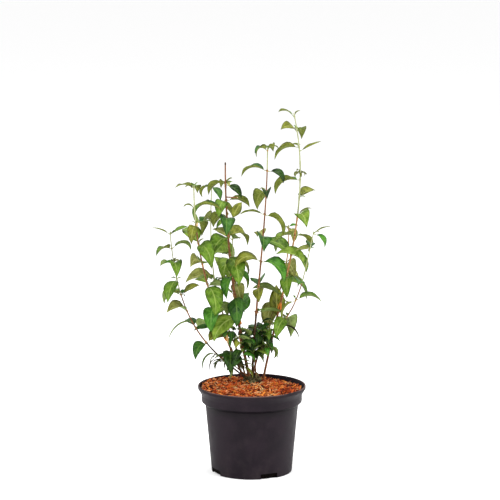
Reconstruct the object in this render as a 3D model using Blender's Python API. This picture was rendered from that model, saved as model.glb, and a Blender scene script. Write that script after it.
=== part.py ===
"""A young many-stemmed mock orange shrub in a black nursery pot, as sold in spring, before it flowers.

Nine slender canes rise from a root crown in bark mulch. Opposite, drooping leaves sit in crossed pairs
along them, and a low thicket of small leaves hides their feet. Metres, +Z up. The origin is the middle
of the pot's flat underside, and -Y is the front.
"""

import math
import random
from typing import NamedTuple

import bmesh
import bpy
from mathutils import Quaternion, Vector
from mathutils.bvhtree import BVHTree

# The clear gap between two pieces that touch on the real plant
CLEAR = 0.0003

# The pot: a three-litre nursery pot, 190 mm across its lip
POT_HEIGHT = 0.154
POT_WALL = 0.0016
POT_FLOOR = 0.002
FOOT_RADIUS = 0.071
FOOT_EDGE = 0.0015
BODY_TOP_RADIUS = 0.082
BODY_TOP = 0.1208
COLLAR_RADIUS = 0.0885
COLLAR_FOOT = 0.1263
COLLAR_TOP = 0.138
LIP_RADIUS = 0.095
LIP_EDGE = 0.0008
LIP_FOOT = 0.148
LIP_THICKNESS = 0.0026
TURNED_SIDES = 64
NOTCHES = 4
NOTCH_WIDTH = 0.032
NOTCH_HEIGHT = 0.0095
NOTCH_DEPTH = 0.007
FIRST_NOTCH = 25.5

# What fills the pot
COMPOST_TOP = 0.136
BARK_EDGE = 0.1495
BARK_TOP = 0.151
BARK_LEVEL_RADIUS = 0.062
BARK_LOW_SIDE = Vector((0.65, 0.76, 0))
BARK_SLOPE = 0.006

# The root crown
CROWN_CENTRE = Vector((0.001, 0.033, BARK_TOP + CLEAR))
CROWN_RADIUS = 0.017
CROWN_HEIGHT = 0.010
CROWN_SIDES = 14
CROWN_RINGS = 4
CROWN_BUMP = 0.12
CROWN_SEED = 5
STUB_SINK = 0.003
STUB_SPREAD = 0.6
STUB_PULL = 0.008
STUB_FLARE = 1.5
STUB_RINGS = 5

# Limbs and stems
LIMB_SIDES = 8
STEM_SIDES = 5
RING_STEP = 0.020
PATH_STEPS = 96

# Leaves: an outline of four sections, as shares of the length and of the width
LEAF_STATIONS = (0.0, 0.32, 0.68, 1.0)
LEAF_WIDTHS = (0.0, 1.0, 0.66, 0.0)
LEAF_WIDTH = 0.52
LEAF_THICKNESS = 0.018
PETIOLE_LENGTH = 0.006
PETIOLE_RADIUS = 0.0006
TURN_SPREAD = 38
LIFT_RANGE = (-12, 52)
DROOP_RANGE = (35, 135)
SIZE_RANGE = (0.75, 1.20)
ROLL_SPREAD = 42
FOLD_RANGE = (8, 34)
FALLEN_SHARE = 0.10
PAIR_TURN = 90
INTERNODE_RATIO = 0.955
TIP_LEAF_LOSS = 0.40
TIP_LEAF_POWER = 4
STEM_BELOW_LEAVES = 0.3
HALF_TURNS = (0, 180)
RETRY_LIFTS = (0, 16, -16, 32, -32)
LEAF_CLEARANCE = 0.0006


class Cane(NamedTuple):
    """One slender stem: a curve from foot to tip, bare below, with crossed pairs of leaves above."""
    name: str
    foot: tuple
    lower: tuple
    upper: tuple
    tip: tuple
    radii: tuple
    leafy: tuple
    heading: float
    leaf: float
    pairs: tuple
    seeds: tuple
    parent: str = ""
    parent_share: float = 0.0


CANES = (
    Cane("far_left", (-0.013, 0.026, 0.1627), (-0.085, 0.021, 0.2197), (-0.131, 0.020, 0.2647),
         (-0.143, 0.010, 0.4257), (0.0016, 0.0008), (0.30, 0.985), 44, 0.052, (3, 3, 2), (4095, 84, 6744)),
    Cane("left", (-0.016, 0.034, 0.1637), (-0.072, 0.008, 0.2907), (-0.101, -0.014, 0.3927),
         (-0.100, -0.045, 0.5167), (0.0021, 0.0010), (0.14, 0.985), 54, 0.058, (3, 3, 3), (3482, 697, 2280)),
    Cane("back_left", (-0.012, 0.042, 0.1637), (-0.043, 0.062, 0.2677), (-0.082, 0.066, 0.2797),
         (-0.071, 0.110, 0.4967), (0.0016, 0.0008), (0.50, 0.985), 18, 0.052, (3, 3), (506, 3432)),
    Cane("centre", (-0.005, 0.031, 0.1637), (-0.031, 0.021, 0.2857), (-0.047, 0.006, 0.4247),
         (-0.046, -0.010, 0.5507), (0.0029, 0.0013), (0.28, 0.90), 36, 0.057, (3, 3, 2), (1470, 774, 2457)),
    Cane("centre_back", (-0.005, 0.041, 0.1637), (-0.028, 0.057, 0.2557), (-0.034, 0.075, 0.3457),
         (-0.035, 0.095, 0.4357), (0.0015, 0.0008), (0.45, 0.985), 36, 0.056, (2, 3), (7444, 6223)),
    Cane("right_centre", (0.001, 0.031, 0.1637), (0.005, 0.003, 0.3037), (0.027, -0.022, 0.4427),
         (0.027, -0.050, 0.5837), (0.0022, 0.0010), (0.28, 0.985), -10, 0.056, (3, 3, 2), (4451, 196, 9349)),
    Cane("tall_right", (0.020, 0.050, BARK_TOP + CLEAR), (0.050, 0.043, 0.3127), (0.110, 0.035, 0.4727),
         (0.073, 0.025, 0.6327), (0.0022, 0.0009), (0.235, 0.985), 54, 0.054, (3, 3, 3, 3),
         (1470, 894, 8717, 931)),
    Cane("inner_right", (0.002, 0.042, 0.1637), (0.023, 0.065, 0.2517), (0.072, 0.085, 0.3267),
         (0.065, 0.105, 0.4217), (0.0018, 0.0009), (0.50, 0.985), 82, 0.054, (2, 3), (8283, 923)),
    Cane("far_right", (0.047, 0.042, 0.2417), (0.087, 0.017, 0.2927), (0.092, -0.011, 0.3607),
         (0.107, -0.045, 0.4347), (0.0013, 0.0007), (0.16, 0.985), 82, 0.052, (3, 3), (5992, 3849),
         "tall_right", 0.185),
)


class Thicket(NamedTuple):
    """A low dense clump: a short stem, with twigs that turn round it and small leaves in pairs."""
    name: str
    foot: tuple
    tip: tuple
    radii: tuple
    twigs: int
    twig_length: float
    leaf: float
    seed: int


THICKETS = (
    Thicket("low_thicket", (0.007, 0.037, 0.1637), (0.003, 0.038, 0.2377), (0.0016, 0.0009),
            12, 0.028, 0.030, 21),
    Thicket("low_left_sprig", (-0.007, 0.023, 0.1637), (-0.044, 0.006, 0.1977), (0.0012, 0.0008),
            5, 0.018, 0.026, 22),
)
TWIG_TURN = 137.5
TWIG_LOWEST = 0.45
TWIG_RISE = (5, 55)
TWIG_RADIUS = 0.0008
TWIG_WANDER = 20
TWIG_LENGTHS = (0.7, 1.2)
THICKET_RINGS = 5
# The pairs of leaves on a twig: how far along it they sit, and how they turn from its heading
TWIG_PAIRS = ((0.5, (90, 270)), (0.98, (-30, 30)))

# Colours read from the photo, in linear light: name, red, green, blue, roughness
LOOKS = {
    "black_pot": (0.036, 0.030, 0.040, 0.45),
    "compost": (0.030, 0.018, 0.011, 0.95),
    "bark_mulch": (0.44, 0.105, 0.030, 0.85),
    "old_wood": (0.105, 0.080, 0.045, 0.80),
    "cane_bark": (0.20, 0.050, 0.025, 0.55),
    "high_leaf": (0.170, 0.210, 0.060, 0.50),
    "middle_leaf": (0.060, 0.200, 0.035, 0.48),
    "low_leaf": (0.018, 0.085, 0.020, 0.50),
}
HIGH_LEAF_HEIGHT = 0.42
LOW_LEAF_HEIGHT = 0.25


def material(look):
    """The named finish, made once."""
    if look in bpy.data.materials:
        return bpy.data.materials[look]
    made = bpy.data.materials.new(look)
    made.use_nodes = True
    shader = made.node_tree.nodes["Principled BSDF"]
    red, green, blue, roughness = LOOKS[look]
    shader.inputs["Base Color"].default_value = (red, green, blue, 1)
    shader.inputs["Roughness"].default_value = roughness
    shader.inputs["Metallic"].default_value = 0
    return made


def piece(name, corners, faces, look=None):
    """A new object from its corners and faces, linked to the scene."""
    mesh = bpy.data.meshes.new(name)
    mesh.from_pydata(corners, [], faces)
    mesh.update()
    made = bpy.data.objects.new(name, mesh)
    bpy.context.scene.collection.objects.link(made)
    if look:
        mesh.materials.append(material(look))
    return made


def shade_round(made, angle=40):
    """Smooth shading on a round piece, with its corners kept sharp."""
    made.data.shade_smooth()
    made.data.set_sharp_from_angle(angle=math.radians(angle))


def apply_modifiers(made):
    """Apply what stands on a piece, so that its mesh is the finished shape."""
    with bpy.context.temp_override(object=made, active_object=made, selected_objects=[made]):
        for modifier in list(made.modifiers):
            bpy.ops.object.modifier_apply(modifier=modifier.name)


def shells_of(mesh):
    """The separate shells of a mesh, as sets of corners."""
    unseen = set(mesh.verts)
    shells = []
    while unseen:
        shell = set()
        edge = [unseen.pop()]
        while edge:
            corner = edge.pop()
            shell.add(corner)
            for link in corner.link_edges:
                other = link.other_vert(corner)
                if other in unseen:
                    unseen.discard(other)
                    edge.append(other)
        shells.append(shell)
    return shells


def keep_largest_shell(made):
    """Drop loose scraps, and fill any hollow that the joining sealed. True if one closed shell is left."""
    mesh = bmesh.new()
    mesh.from_mesh(made.data)
    shells = shells_of(mesh)
    largest = max(shells, key=len)
    scraps = [corner for shell in shells if shell is not largest for corner in shell]
    bmesh.ops.delete(mesh, geom=scraps, context="VERTS")
    closed = all(edge.is_contiguous for edge in mesh.edges)
    closed = closed and all(corner.is_manifold for corner in mesh.verts)
    mesh.to_mesh(made.data)
    mesh.free()
    return closed


def combine(body, parts, operation="UNION"):
    """Join or cut a body by its parts in one step, on a collection, and remove them."""
    group = bpy.data.collections.new(body.name + "_parts")
    bpy.context.scene.collection.children.link(group)
    for part in parts:
        for owner in list(part.users_collection):
            owner.objects.unlink(part)
        group.objects.link(part)
    unjoined = body.data.copy()
    for solver in ("EXACT", "MANIFOLD"):
        body.data = unjoined.copy()
        joint = body.modifiers.new("join", "BOOLEAN")
        joint.operation = operation
        joint.operand_type = "COLLECTION"
        joint.collection = group
        joint.solver = solver
        apply_modifiers(body)
        if keep_largest_shell(body):
            break
    for part in parts:
        bpy.data.objects.remove(part)
    bpy.data.collections.remove(group)


# The pot and what fills it

def turned(name, profile, look):
    """A solid of revolution from a half outline that starts and ends on the axis."""
    mesh = bmesh.new()
    corners = [mesh.verts.new((radius, 0, height)) for radius, height in profile]
    edges = [mesh.edges.new(pair) for pair in zip(corners, corners[1:])]
    bmesh.ops.spin(mesh, geom=corners + edges, axis=(0, 0, 1), cent=(0, 0, 0),
                   angle=math.tau, steps=TURNED_SIDES, use_merge=True)
    bmesh.ops.remove_doubles(mesh, verts=mesh.verts, dist=1e-6)
    bmesh.ops.recalc_face_normals(mesh, faces=mesh.faces)
    data = bpy.data.meshes.new(name)
    mesh.to_mesh(data)
    mesh.free()
    data.materials.append(material(look))
    made = bpy.data.objects.new(name, data)
    bpy.context.scene.collection.objects.link(made)
    shade_round(made)
    return made


def outer_wall():
    """The pot's outer outline from its foot to its lip: radius and height."""
    return [(FOOT_RADIUS - FOOT_EDGE, 0), (FOOT_RADIUS, FOOT_EDGE), (BODY_TOP_RADIUS, BODY_TOP),
            (COLLAR_RADIUS, COLLAR_FOOT), (COLLAR_RADIUS, COLLAR_TOP), (LIP_RADIUS - LIP_EDGE, LIP_FOOT),
            (LIP_RADIUS, LIP_FOOT + LIP_EDGE), (LIP_RADIUS, POT_HEIGHT - LIP_EDGE),
            (LIP_RADIUS - LIP_EDGE, POT_HEIGHT)]


def inner_wall(inset):
    """The inside of the pot's wall above its floor, moved in by the inset."""
    return [(FOOT_RADIUS - inset, POT_FLOOR), (BODY_TOP_RADIUS - inset, BODY_TOP),
            (COLLAR_RADIUS - inset, COLLAR_FOOT), (COLLAR_RADIUS - inset, COLLAR_TOP)]


def pot():
    """The moulded pot: one thin turned wall, a thicker lip, and drain notches cut in its foot."""
    mouth = [(LIP_RADIUS - LIP_THICKNESS, POT_HEIGHT), (LIP_RADIUS - LIP_THICKNESS - LIP_EDGE, LIP_FOOT)]
    inside = inner_wall(POT_WALL)[::-1]
    body = turned("pot", [(0, 0)] + outer_wall() + mouth + inside + [(0, POT_FLOOR)], "black_pot")
    cutters = []
    for turn in range(NOTCHES):
        bearing = math.radians(FIRST_NOTCH + turn * 360 / NOTCHES)
        outward = Vector((math.sin(bearing), -math.cos(bearing), 0))
        bpy.ops.mesh.primitive_cube_add(size=1, location=outward * FOOT_RADIUS, rotation=(0, 0, bearing))
        cutter = bpy.context.object
        cutter.name = "notch_cutter_%d" % turn
        cutter.scale = (NOTCH_WIDTH, 2 * NOTCH_DEPTH, 2 * NOTCH_HEIGHT)
        cutters.append(cutter)
    combine(body, cutters, "DIFFERENCE")
    shade_round(body)
    return body


def compost():
    """The root ball's compost, which fills the pot below the bark."""
    inset = POT_WALL + CLEAR
    side = [(radius, height) for radius, height in inner_wall(inset) if height < COMPOST_TOP]
    side[0] = (side[0][0], POT_FLOOR + CLEAR)
    top = [(COLLAR_RADIUS - inset, COMPOST_TOP), (0, COMPOST_TOP)]
    return turned("compost", [(0, POT_FLOOR + CLEAR)] + side + top, "compost")


def wall_radius(height):
    """How far the bark may reach towards the flaring wall at a height between the collar and the lip."""
    collar = COLLAR_RADIUS - POT_WALL
    mouth = LIP_RADIUS - LIP_THICKNESS - LIP_EDGE
    share = min((height - COLLAR_TOP) / (LIP_FOOT - COLLAR_TOP), 1)
    return collar + (mouth - collar) * share - CLEAR


def bark_mulch():
    """The layer of shredded bark: level in the middle, up to the lip in front, lower at the back right."""
    bottom = COMPOST_TOP + CLEAR
    profile = [(0, bottom), (wall_radius(COLLAR_TOP), bottom), (wall_radius(COLLAR_TOP), COLLAR_TOP),
               (wall_radius(BARK_EDGE), BARK_EDGE), (BARK_LEVEL_RADIUS, BARK_TOP), (0, BARK_TOP)]
    bark = turned("bark_mulch", profile, "bark_mulch")
    for corner in bark.data.vertices:
        if abs(corner.co.z - BARK_EDGE) < CLEAR:
            outward = Vector((corner.co.x, corner.co.y, 0)).normalized()
            height = BARK_EDGE - BARK_SLOPE * max(outward.dot(BARK_LOW_SIDE), 0)
            corner.co = outward * wall_radius(height) + Vector((0, 0, height))
    return bark


# Canes: curves, tubes and the places along them

def bezier(handles, share):
    """A point on the curve that four handles, or three, describe."""
    points = [Vector(handle) for handle in handles]
    while len(points) > 1:
        points = [a.lerp(b, share) for a, b in zip(points, points[1:])]
    return points[0]


class Path:
    """A smooth curve that is read by the share of its length."""

    def __init__(self, handles):
        self.points = [bezier(handles, step / PATH_STEPS) for step in range(PATH_STEPS + 1)]
        self.lengths = [0.0]
        for a, b in zip(self.points, self.points[1:]):
            self.lengths.append(self.lengths[-1] + (b - a).length)
        self.length = self.lengths[-1]

    def at(self, share):
        """The point at a share of the length."""
        wanted = min(max(share, 0.0), 1.0) * self.length
        for step in range(PATH_STEPS):
            if self.lengths[step + 1] >= wanted:
                run = self.lengths[step + 1] - self.lengths[step]
                return self.points[step].lerp(self.points[step + 1], (wanted - self.lengths[step]) / run)
        return self.points[-1]

    def way(self, share):
        """The direction of growth at a share of the length."""
        step = 0.5 / PATH_STEPS
        return (self.at(share + step) - self.at(share - step)).normalized()


def tube(points, radii, sides, level_foot=False):
    """Corners and faces of a closed tapering tube along the points."""
    ways = []
    for index in range(len(points)):
        low = max(index - 1, 0)
        high = min(index + 1, len(points) - 1)
        ways.append((points[high] - points[low]).normalized())
    if level_foot:
        ways[0] = Vector((0, 0, 1))
    across = ways[0].orthogonal().normalized()
    corners = []
    for index, (point, way, radius) in enumerate(zip(points, ways, radii)):
        if index:
            across.rotate(ways[index - 1].rotation_difference(way))
        for side in range(sides):
            corners.append(point + Quaternion(way, math.tau * side / sides) @ across * radius)
    faces = [tuple(range(sides))[::-1]]
    for ring in range(len(points) - 1):
        for side in range(sides):
            start = ring * sides
            after = (side + 1) % sides
            faces.append((start + side, start + after, start + sides + after, start + sides + side))
    faces.append(tuple(range(len(corners) - sides, len(corners))))
    return corners, faces


def tapering(handles, radii, rings, sides):
    """A closed tube along the curve of its handles, tapering evenly from the first radius to the last."""
    shares = [ring / (rings - 1) for ring in range(rings)]
    points = [bezier(handles, share) for share in shares]
    return tube(points, [radii[0] + (radii[1] - radii[0]) * share for share in shares], sides)


def cane_path(cane, paths):
    """The curve of a cane. A side branch starts on the skin of its parent, a clear gap off it."""
    if not cane.parent:
        return Path((cane.foot, cane.lower, cane.upper, cane.tip))
    parent = next(other for other in CANES if other.name == cane.parent)
    root = paths[cane.parent].at(cane.parent_share)
    way = (Vector(cane.lower) - root).normalized()
    slope = way.dot(paths[cane.parent].way(cane.parent_share))
    reach = cane_radius(parent, cane.parent_share) + CLEAR + cane.radii[0] * slope
    foot = root + way * reach / math.sqrt(1 - slope ** 2)
    return Path((foot, cane.lower, cane.upper, cane.tip))


def cane_radius(cane, share):
    """The cane's radius at a share of its length, tapering evenly."""
    return cane.radii[0] + (cane.radii[1] - cane.radii[0]) * share


def cane_stretch(cane, path, start, end, sides, level_foot=False):
    """The stretch of a cane between two shares of its length, as a closed tube."""
    rings = max(2, math.ceil((end - start) * path.length / RING_STEP)) + 1
    shares = [start + (end - start) * ring / (rings - 1) for ring in range(rings)]
    radii = [cane_radius(cane, share) for share in shares]
    return tube([path.at(share) for share in shares], radii, sides, level_foot)


def node_shares(cane):
    """Where the pairs of leaves sit, as shares of the length: closer together towards the tip."""
    low, high = cane.leafy
    count = sum(cane.pairs)
    steps = [INTERNODE_RATIO ** index for index in range(count - 1)]
    reached = [sum(steps[:index]) / sum(steps) for index in range(count)]
    return [low + (high - low) * share for share in reached]


def mass_spans(cane, path):
    """The stretch of stem that each mass of leaves grows on, with a clear gap between them."""
    nodes = node_shares(cane)
    gap = CLEAR / path.length
    borders = [cane.leafy[0] - STEM_BELOW_LEAVES * (nodes[1] - nodes[0])]
    first = 0
    for count in cane.pairs[:-1]:
        first += count
        borders.append((nodes[first - 1] + nodes[first]) / 2)
    borders.append(1.0)
    return [(low + gap / 2, high - gap / 2) for low, high in zip(borders, borders[1:])]


# Leaves

class Leaf(NamedTuple):
    """One leaf: where its stalk leaves the stem, the way it faces, and how it is held."""
    root: Vector
    heading: float
    lift: float
    droop: float
    length: float
    roll: float
    fold: float


def drawn_leaf(rng, root, heading, length):
    """A leaf by the seeded rule, or None where it has fallen."""
    turn = rng.uniform(-TURN_SPREAD, TURN_SPREAD)
    lift = rng.uniform(*LIFT_RANGE)
    droop = rng.uniform(*DROOP_RANGE)
    size = rng.uniform(*SIZE_RANGE)
    roll = rng.uniform(-ROLL_SPREAD, ROLL_SPREAD)
    fold = rng.uniform(*FOLD_RANGE)
    if rng.random() < FALLEN_SHARE:
        return None
    return Leaf(root, heading + turn, lift, droop, length * size, roll, fold)


def leaf_solid(leaf, spare=0.0):
    """Corners and faces of a leaf with its stalk: sections of four corners along an arching midrib."""
    bearing = math.radians(leaf.heading)
    outward = Vector((math.cos(bearing), math.sin(bearing), 0))
    fold = math.radians(leaf.fold)
    pitches = [math.radians(leaf.lift - leaf.droop * (low + high) / 2)
               for low, high in zip(LEAF_STATIONS, LEAF_STATIONS[1:])]
    ways = [outward * math.cos(pitch) + Vector((0, 0, math.sin(pitch))) for pitch in pitches]
    mids = [leaf.root, leaf.root + ways[0] * PETIOLE_LENGTH]
    for low, high, way in zip(LEAF_STATIONS, LEAF_STATIONS[1:], ways):
        mids.append(mids[-1] + way * leaf.length * (high - low))
    section_ways = [ways[0], ways[0], ways[0], ways[1]]
    widths = [0, 0] + [share * LEAF_WIDTH * leaf.length / 2 for share in LEAF_WIDTHS[1:-1]]
    corners = []
    for index, (mid, way, width) in enumerate(zip(mids, section_ways, widths)):
        level = way.cross(Vector((0, 0, 1))).normalized()
        side = Quaternion(way, math.radians(leaf.roll)) @ level
        up = side.cross(way)
        if index < 2:
            reach = PETIOLE_RADIUS + spare
            corners += [mid + side * reach, mid + up * reach, mid - side * reach, mid - up * reach]
            continue
        edge_out = (width + spare) * math.cos(fold)
        edge_up = width * math.sin(fold)
        half = LEAF_THICKNESS * leaf.length / 2 + spare
        corners += [mid + side * edge_out + up * edge_up, mid + up * half,
                    mid - side * edge_out + up * edge_up, mid - up * half]
    corners.append(mids[-1] + ways[-1] * spare)
    faces = [(0, 1, 2, 3)]
    for section in range(0, 12, 4):
        for side in range(4):
            after = (side + 1) % 4
            a, b = section + side, section + after
            faces.append((a, a + 4, b + 4))
            faces.append((a, b + 4, b))
    faces += [(12 + side, 16, 12 + (side + 1) % 4) for side in range(4)]
    return corners, faces


def tree_of(solids):
    """One search tree for many solids."""
    corners, faces = [], []
    for solid_corners, solid_faces in solids:
        start = len(corners)
        corners += solid_corners
        faces += [tuple(start + corner for corner in face) for face in solid_faces]
    return BVHTree.FromPolygons(corners, faces)


def clear_of(solid, obstacles):
    """True if a solid's surface crosses no obstacle."""
    return not BVHTree.FromPolygons(*solid).overlap(obstacles)


def settled(leaf, obstacles):
    """The leaf, lifted or lowered until it is clear of its neighbours, or None if it never is."""
    for lift in RETRY_LIFTS:
        tried = leaf._replace(lift=leaf.lift + lift)
        if clear_of(leaf_solid(tried, LEAF_CLEARANCE), obstacles):
            return tried
    return None


def cane_leaves(cane, path, mass):
    """The leaves of one mass on a cane, drawn by its seed: crossed pairs, smaller towards the tip."""
    nodes = node_shares(cane)
    first = sum(cane.pairs[:mass])
    rng = random.Random(cane.seeds[mass])
    leaves = []
    for index in range(first, first + cane.pairs[mass]):
        rise = index / (len(nodes) - 1)
        length = cane.leaf * (1 - TIP_LEAF_LOSS * rise ** TIP_LEAF_POWER)
        for half_turn in HALF_TURNS:
            heading = cane.heading + PAIR_TURN * index + half_turn
            leaf = drawn_leaf(rng, path.at(nodes[index]), heading, length)
            if leaf:
                leaves.append(leaf)
    return leaves


def thicket_growth(thicket, limbs):
    """A thicket's stem and twigs, as tubes, and its leaves, without the twigs that would touch a limb."""
    rng = random.Random(thicket.seed)
    foot, tip = Vector(thicket.foot), Vector(thicket.tip)
    tubes = [tapering([foot, tip], thicket.radii, THICKET_RINGS, STEM_SIDES)]
    leaves = []
    for index in range(thicket.twigs):
        share = TWIG_LOWEST + (1 - TWIG_LOWEST) * (index + 0.5) / thicket.twigs
        start = foot.lerp(tip, share)
        heading = TWIG_TURN * index + rng.uniform(-TWIG_WANDER, TWIG_WANDER)
        bearing = math.radians(heading)
        rise = math.radians(rng.uniform(*TWIG_RISE))
        level = Vector((math.cos(bearing), math.sin(bearing), 0))
        way = level * math.cos(rise) + Vector((0, 0, math.sin(rise)))
        end = start + way * thicket.twig_length * rng.uniform(*TWIG_LENGTHS)
        line = [start, start.lerp(end, 0.5), end]
        free = clear_of(tube(line, [TWIG_RADIUS + LEAF_CLEARANCE] * 3, STEM_SIDES), limbs)
        if free:
            tubes.append(tube(line, [TWIG_RADIUS] * 3, STEM_SIDES))
        for place, turns in TWIG_PAIRS:
            for turn in turns:
                leaf = drawn_leaf(rng, start.lerp(end, place), heading + turn, thicket.leaf)
                if leaf and free:
                    leaves.append(leaf)
    return tubes, leaves


# Putting the plant together

def crown_stub(cane_radii, foot, way):
    """The flared foot of a cane, from inside the crown up to where the cane begins."""
    inside = CROWN_CENTRE.lerp(Vector((foot.x, foot.y, CROWN_CENTRE.z)), STUB_SPREAD)
    inside.z = CROWN_CENTRE.z + STUB_SINK
    end = foot - way * CLEAR
    handles = (inside, end - way * STUB_PULL, end)
    return tapering(handles, (cane_radii[0] * STUB_FLARE, cane_radii[0]), STUB_RINGS, LIMB_SIDES)


def root_crown(stubs):
    """The woody crown: a low knobbly dome, cut flat where it meets the bark, with a stub for each cane."""
    rng = random.Random(CROWN_SEED)
    corners = [CROWN_CENTRE.copy()]
    for ring in range(CROWN_RINGS):
        climb = math.pi / 2 * ring / CROWN_RINGS
        for side in range(CROWN_SIDES):
            turn = math.tau * side / CROWN_SIDES
            reach = CROWN_RADIUS * math.cos(climb) * (1 + rng.uniform(-CROWN_BUMP, CROWN_BUMP))
            corners.append(CROWN_CENTRE + Vector((reach * math.cos(turn), reach * math.sin(turn),
                                                  CROWN_HEIGHT * math.sin(climb))))
    corners.append(CROWN_CENTRE + Vector((0, 0, CROWN_HEIGHT)))
    faces = []
    for side in range(CROWN_SIDES):
        after = (side + 1) % CROWN_SIDES
        faces.append((0, 1 + after, 1 + side))
        for ring in range(CROWN_RINGS - 1):
            low, high = 1 + ring * CROWN_SIDES, 1 + (ring + 1) * CROWN_SIDES
            faces.append((low + side, low + after, high + after, high + side))
        top = 1 + (CROWN_RINGS - 1) * CROWN_SIDES
        faces.append((top + side, top + after, len(corners) - 1))
    body = piece("root_crown", corners, faces, "old_wood")
    combine(body, [piece("stub", *stub) for stub in stubs])
    shade_round(body)
    return body


def leaf_look(leaves):
    """The green of a mass, by its mean height on the plant."""
    height = sum(leaf.root.z for leaf in leaves) / len(leaves)
    if height > HIGH_LEAF_HEIGHT:
        return "high_leaf"
    return "low_leaf" if height < LOW_LEAF_HEIGHT else "middle_leaf"


def main():
    """Build every piece of the plant and its pot."""
    for left_over in list(bpy.data.objects):
        bpy.data.objects.remove(left_over)
    pot()
    compost()
    bark_mulch()

    limbs = {}
    stems = {}
    leaves = {}
    stubs = []
    paths = {}
    for cane in CANES:
        path = paths[cane.name] = cane_path(cane, paths)
        spans = mass_spans(cane, path)
        own_foot = cane.foot[2] == BARK_TOP + CLEAR
        gap = CLEAR / path.length
        limbs[cane.name + "_cane"] = cane_stretch(cane, path, 0, spans[0][0] - gap, LIMB_SIDES, own_foot)
        for mass, (low, high) in enumerate(spans):
            name = "%s_leaves_%d" % (cane.name, mass + 1)
            stems[name] = [cane_stretch(cane, path, low, high, STEM_SIDES)]
            leaves[name] = cane_leaves(cane, path, mass)
        if not own_foot and not cane.parent:
            stubs.append(crown_stub(cane.radii, path.at(0), path.way(0.01)))
    woody = tree_of(list(limbs.values()) + stubs + [tubes[0] for tubes in stems.values()])
    for thicket in THICKETS:
        stems[thicket.name], leaves[thicket.name] = thicket_growth(thicket, woody)
        foot, tip = Vector(thicket.foot), Vector(thicket.tip)
        stubs.append(crown_stub(thicket.radii, foot, (tip - foot).normalized()))

    root_crown(stubs)
    for name, solid in limbs.items():
        shade_round(piece(name, *solid, "cane_bark"))

    grown = {name: [] for name in stems}
    for name, own_leaves in leaves.items():
        others = list(limbs.values()) + stubs
        for other in stems:
            if other != name:
                others += stems[other] + grown[other]
        obstacles = tree_of(others)
        for leaf in own_leaves:
            placed = settled(leaf, obstacles)
            if placed:
                grown[name].append(leaf_solid(placed))
        body = piece(name, *stems[name][0], leaf_look(own_leaves))
        combine(body, [piece("part", *solid) for solid in stems[name][1:] + grown[name]])
        print(name, len(own_leaves), "leaves drawn,", len(grown[name]), "kept")


main()
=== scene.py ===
# %% [markdown]
# # A young mock orange in its nursery pot
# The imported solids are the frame: they hold every piece's real place and size. This lesson dresses them, one
# kind of piece at a time, in the finish of the real plant: moulded plastic, shredded bark, slender canes with
# swollen nodes, and over two hundred drooping leaves. All is in metres, with +Z up and -Y to the front.

import math
import random

import bpy
import numpy as np
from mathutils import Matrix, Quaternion, Vector
from mathutils.kdtree import KDTree


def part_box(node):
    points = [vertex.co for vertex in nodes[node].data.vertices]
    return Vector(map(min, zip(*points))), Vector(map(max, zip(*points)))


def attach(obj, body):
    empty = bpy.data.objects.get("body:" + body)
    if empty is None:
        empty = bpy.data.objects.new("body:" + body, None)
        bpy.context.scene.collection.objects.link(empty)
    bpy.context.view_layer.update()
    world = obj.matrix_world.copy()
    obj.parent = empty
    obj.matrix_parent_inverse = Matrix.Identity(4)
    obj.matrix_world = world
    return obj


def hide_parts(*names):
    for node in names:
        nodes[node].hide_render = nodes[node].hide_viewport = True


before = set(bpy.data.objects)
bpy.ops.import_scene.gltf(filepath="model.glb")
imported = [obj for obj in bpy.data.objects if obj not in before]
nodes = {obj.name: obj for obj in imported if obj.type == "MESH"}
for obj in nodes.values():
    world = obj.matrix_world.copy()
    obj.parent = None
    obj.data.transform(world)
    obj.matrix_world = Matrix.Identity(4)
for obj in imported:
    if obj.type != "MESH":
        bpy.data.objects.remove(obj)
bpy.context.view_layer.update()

# %% [markdown]
# ## Small helpers
# Operators act on whatever is selected, so each step starts from an empty selection. A finished piece keeps
# its place in its mesh, rides on the one body, and hides the solids it stands for.


# %% Helpers for working by hand
def start_clean():
    """Nothing selected, and object mode."""
    if bpy.context.object and bpy.context.object.mode != "OBJECT":
        bpy.ops.object.mode_set(mode="OBJECT")
    bpy.ops.object.select_all(action="DESELECT")


def work_on(piece):
    """One object selected and active."""
    start_clean()
    piece.select_set(True)
    bpy.context.view_layer.objects.active = piece


def settle(piece):
    """Put the object's place, turn and size into its mesh."""
    work_on(piece)
    bpy.ops.object.transform_apply(location=True, rotation=True, scale=True)


def edit_all():
    """Edit mode, with everything selected."""
    bpy.ops.object.mode_set(mode="EDIT")
    bpy.ops.mesh.select_all(action="SELECT")


def close_edit():
    """Turn every face outwards, and leave edit mode."""
    bpy.ops.mesh.select_all(action="SELECT")
    bpy.ops.mesh.normals_make_consistent(inside=False)
    bpy.ops.object.mode_set(mode="OBJECT")


def pick_corners(piece, wanted):
    """In edit mode: select the corners for which wanted(place) is true, and say how many there are."""
    bpy.ops.mesh.select_all(action="DESELECT")
    bpy.ops.object.mode_set(mode="OBJECT")
    chosen = 0
    for corner in piece.data.vertices:
        corner.select = wanted(corner.co)
        chosen += corner.select
    bpy.ops.object.mode_set(mode="EDIT")
    bpy.ops.mesh.select_mode(type="VERT")
    return chosen


def apply_all(piece):
    """Apply each modifier on a piece, in order."""
    work_on(piece)
    for modifier in list(piece.modifiers):
        bpy.ops.object.modifier_apply(modifier=modifier.name)


def joined(pieces):
    """Many objects joined into the first of them."""
    start_clean()
    for piece in pieces:
        piece.select_set(True)
    bpy.context.view_layer.objects.active = pieces[0]
    bpy.ops.object.join()
    return pieces[0]


def give(piece, *finishes):
    """Let a piece have these finishes and no others. All its faces start in the first one."""
    piece.data.materials.clear()
    for finish in finishes:
        piece.data.materials.append(finish)


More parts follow.
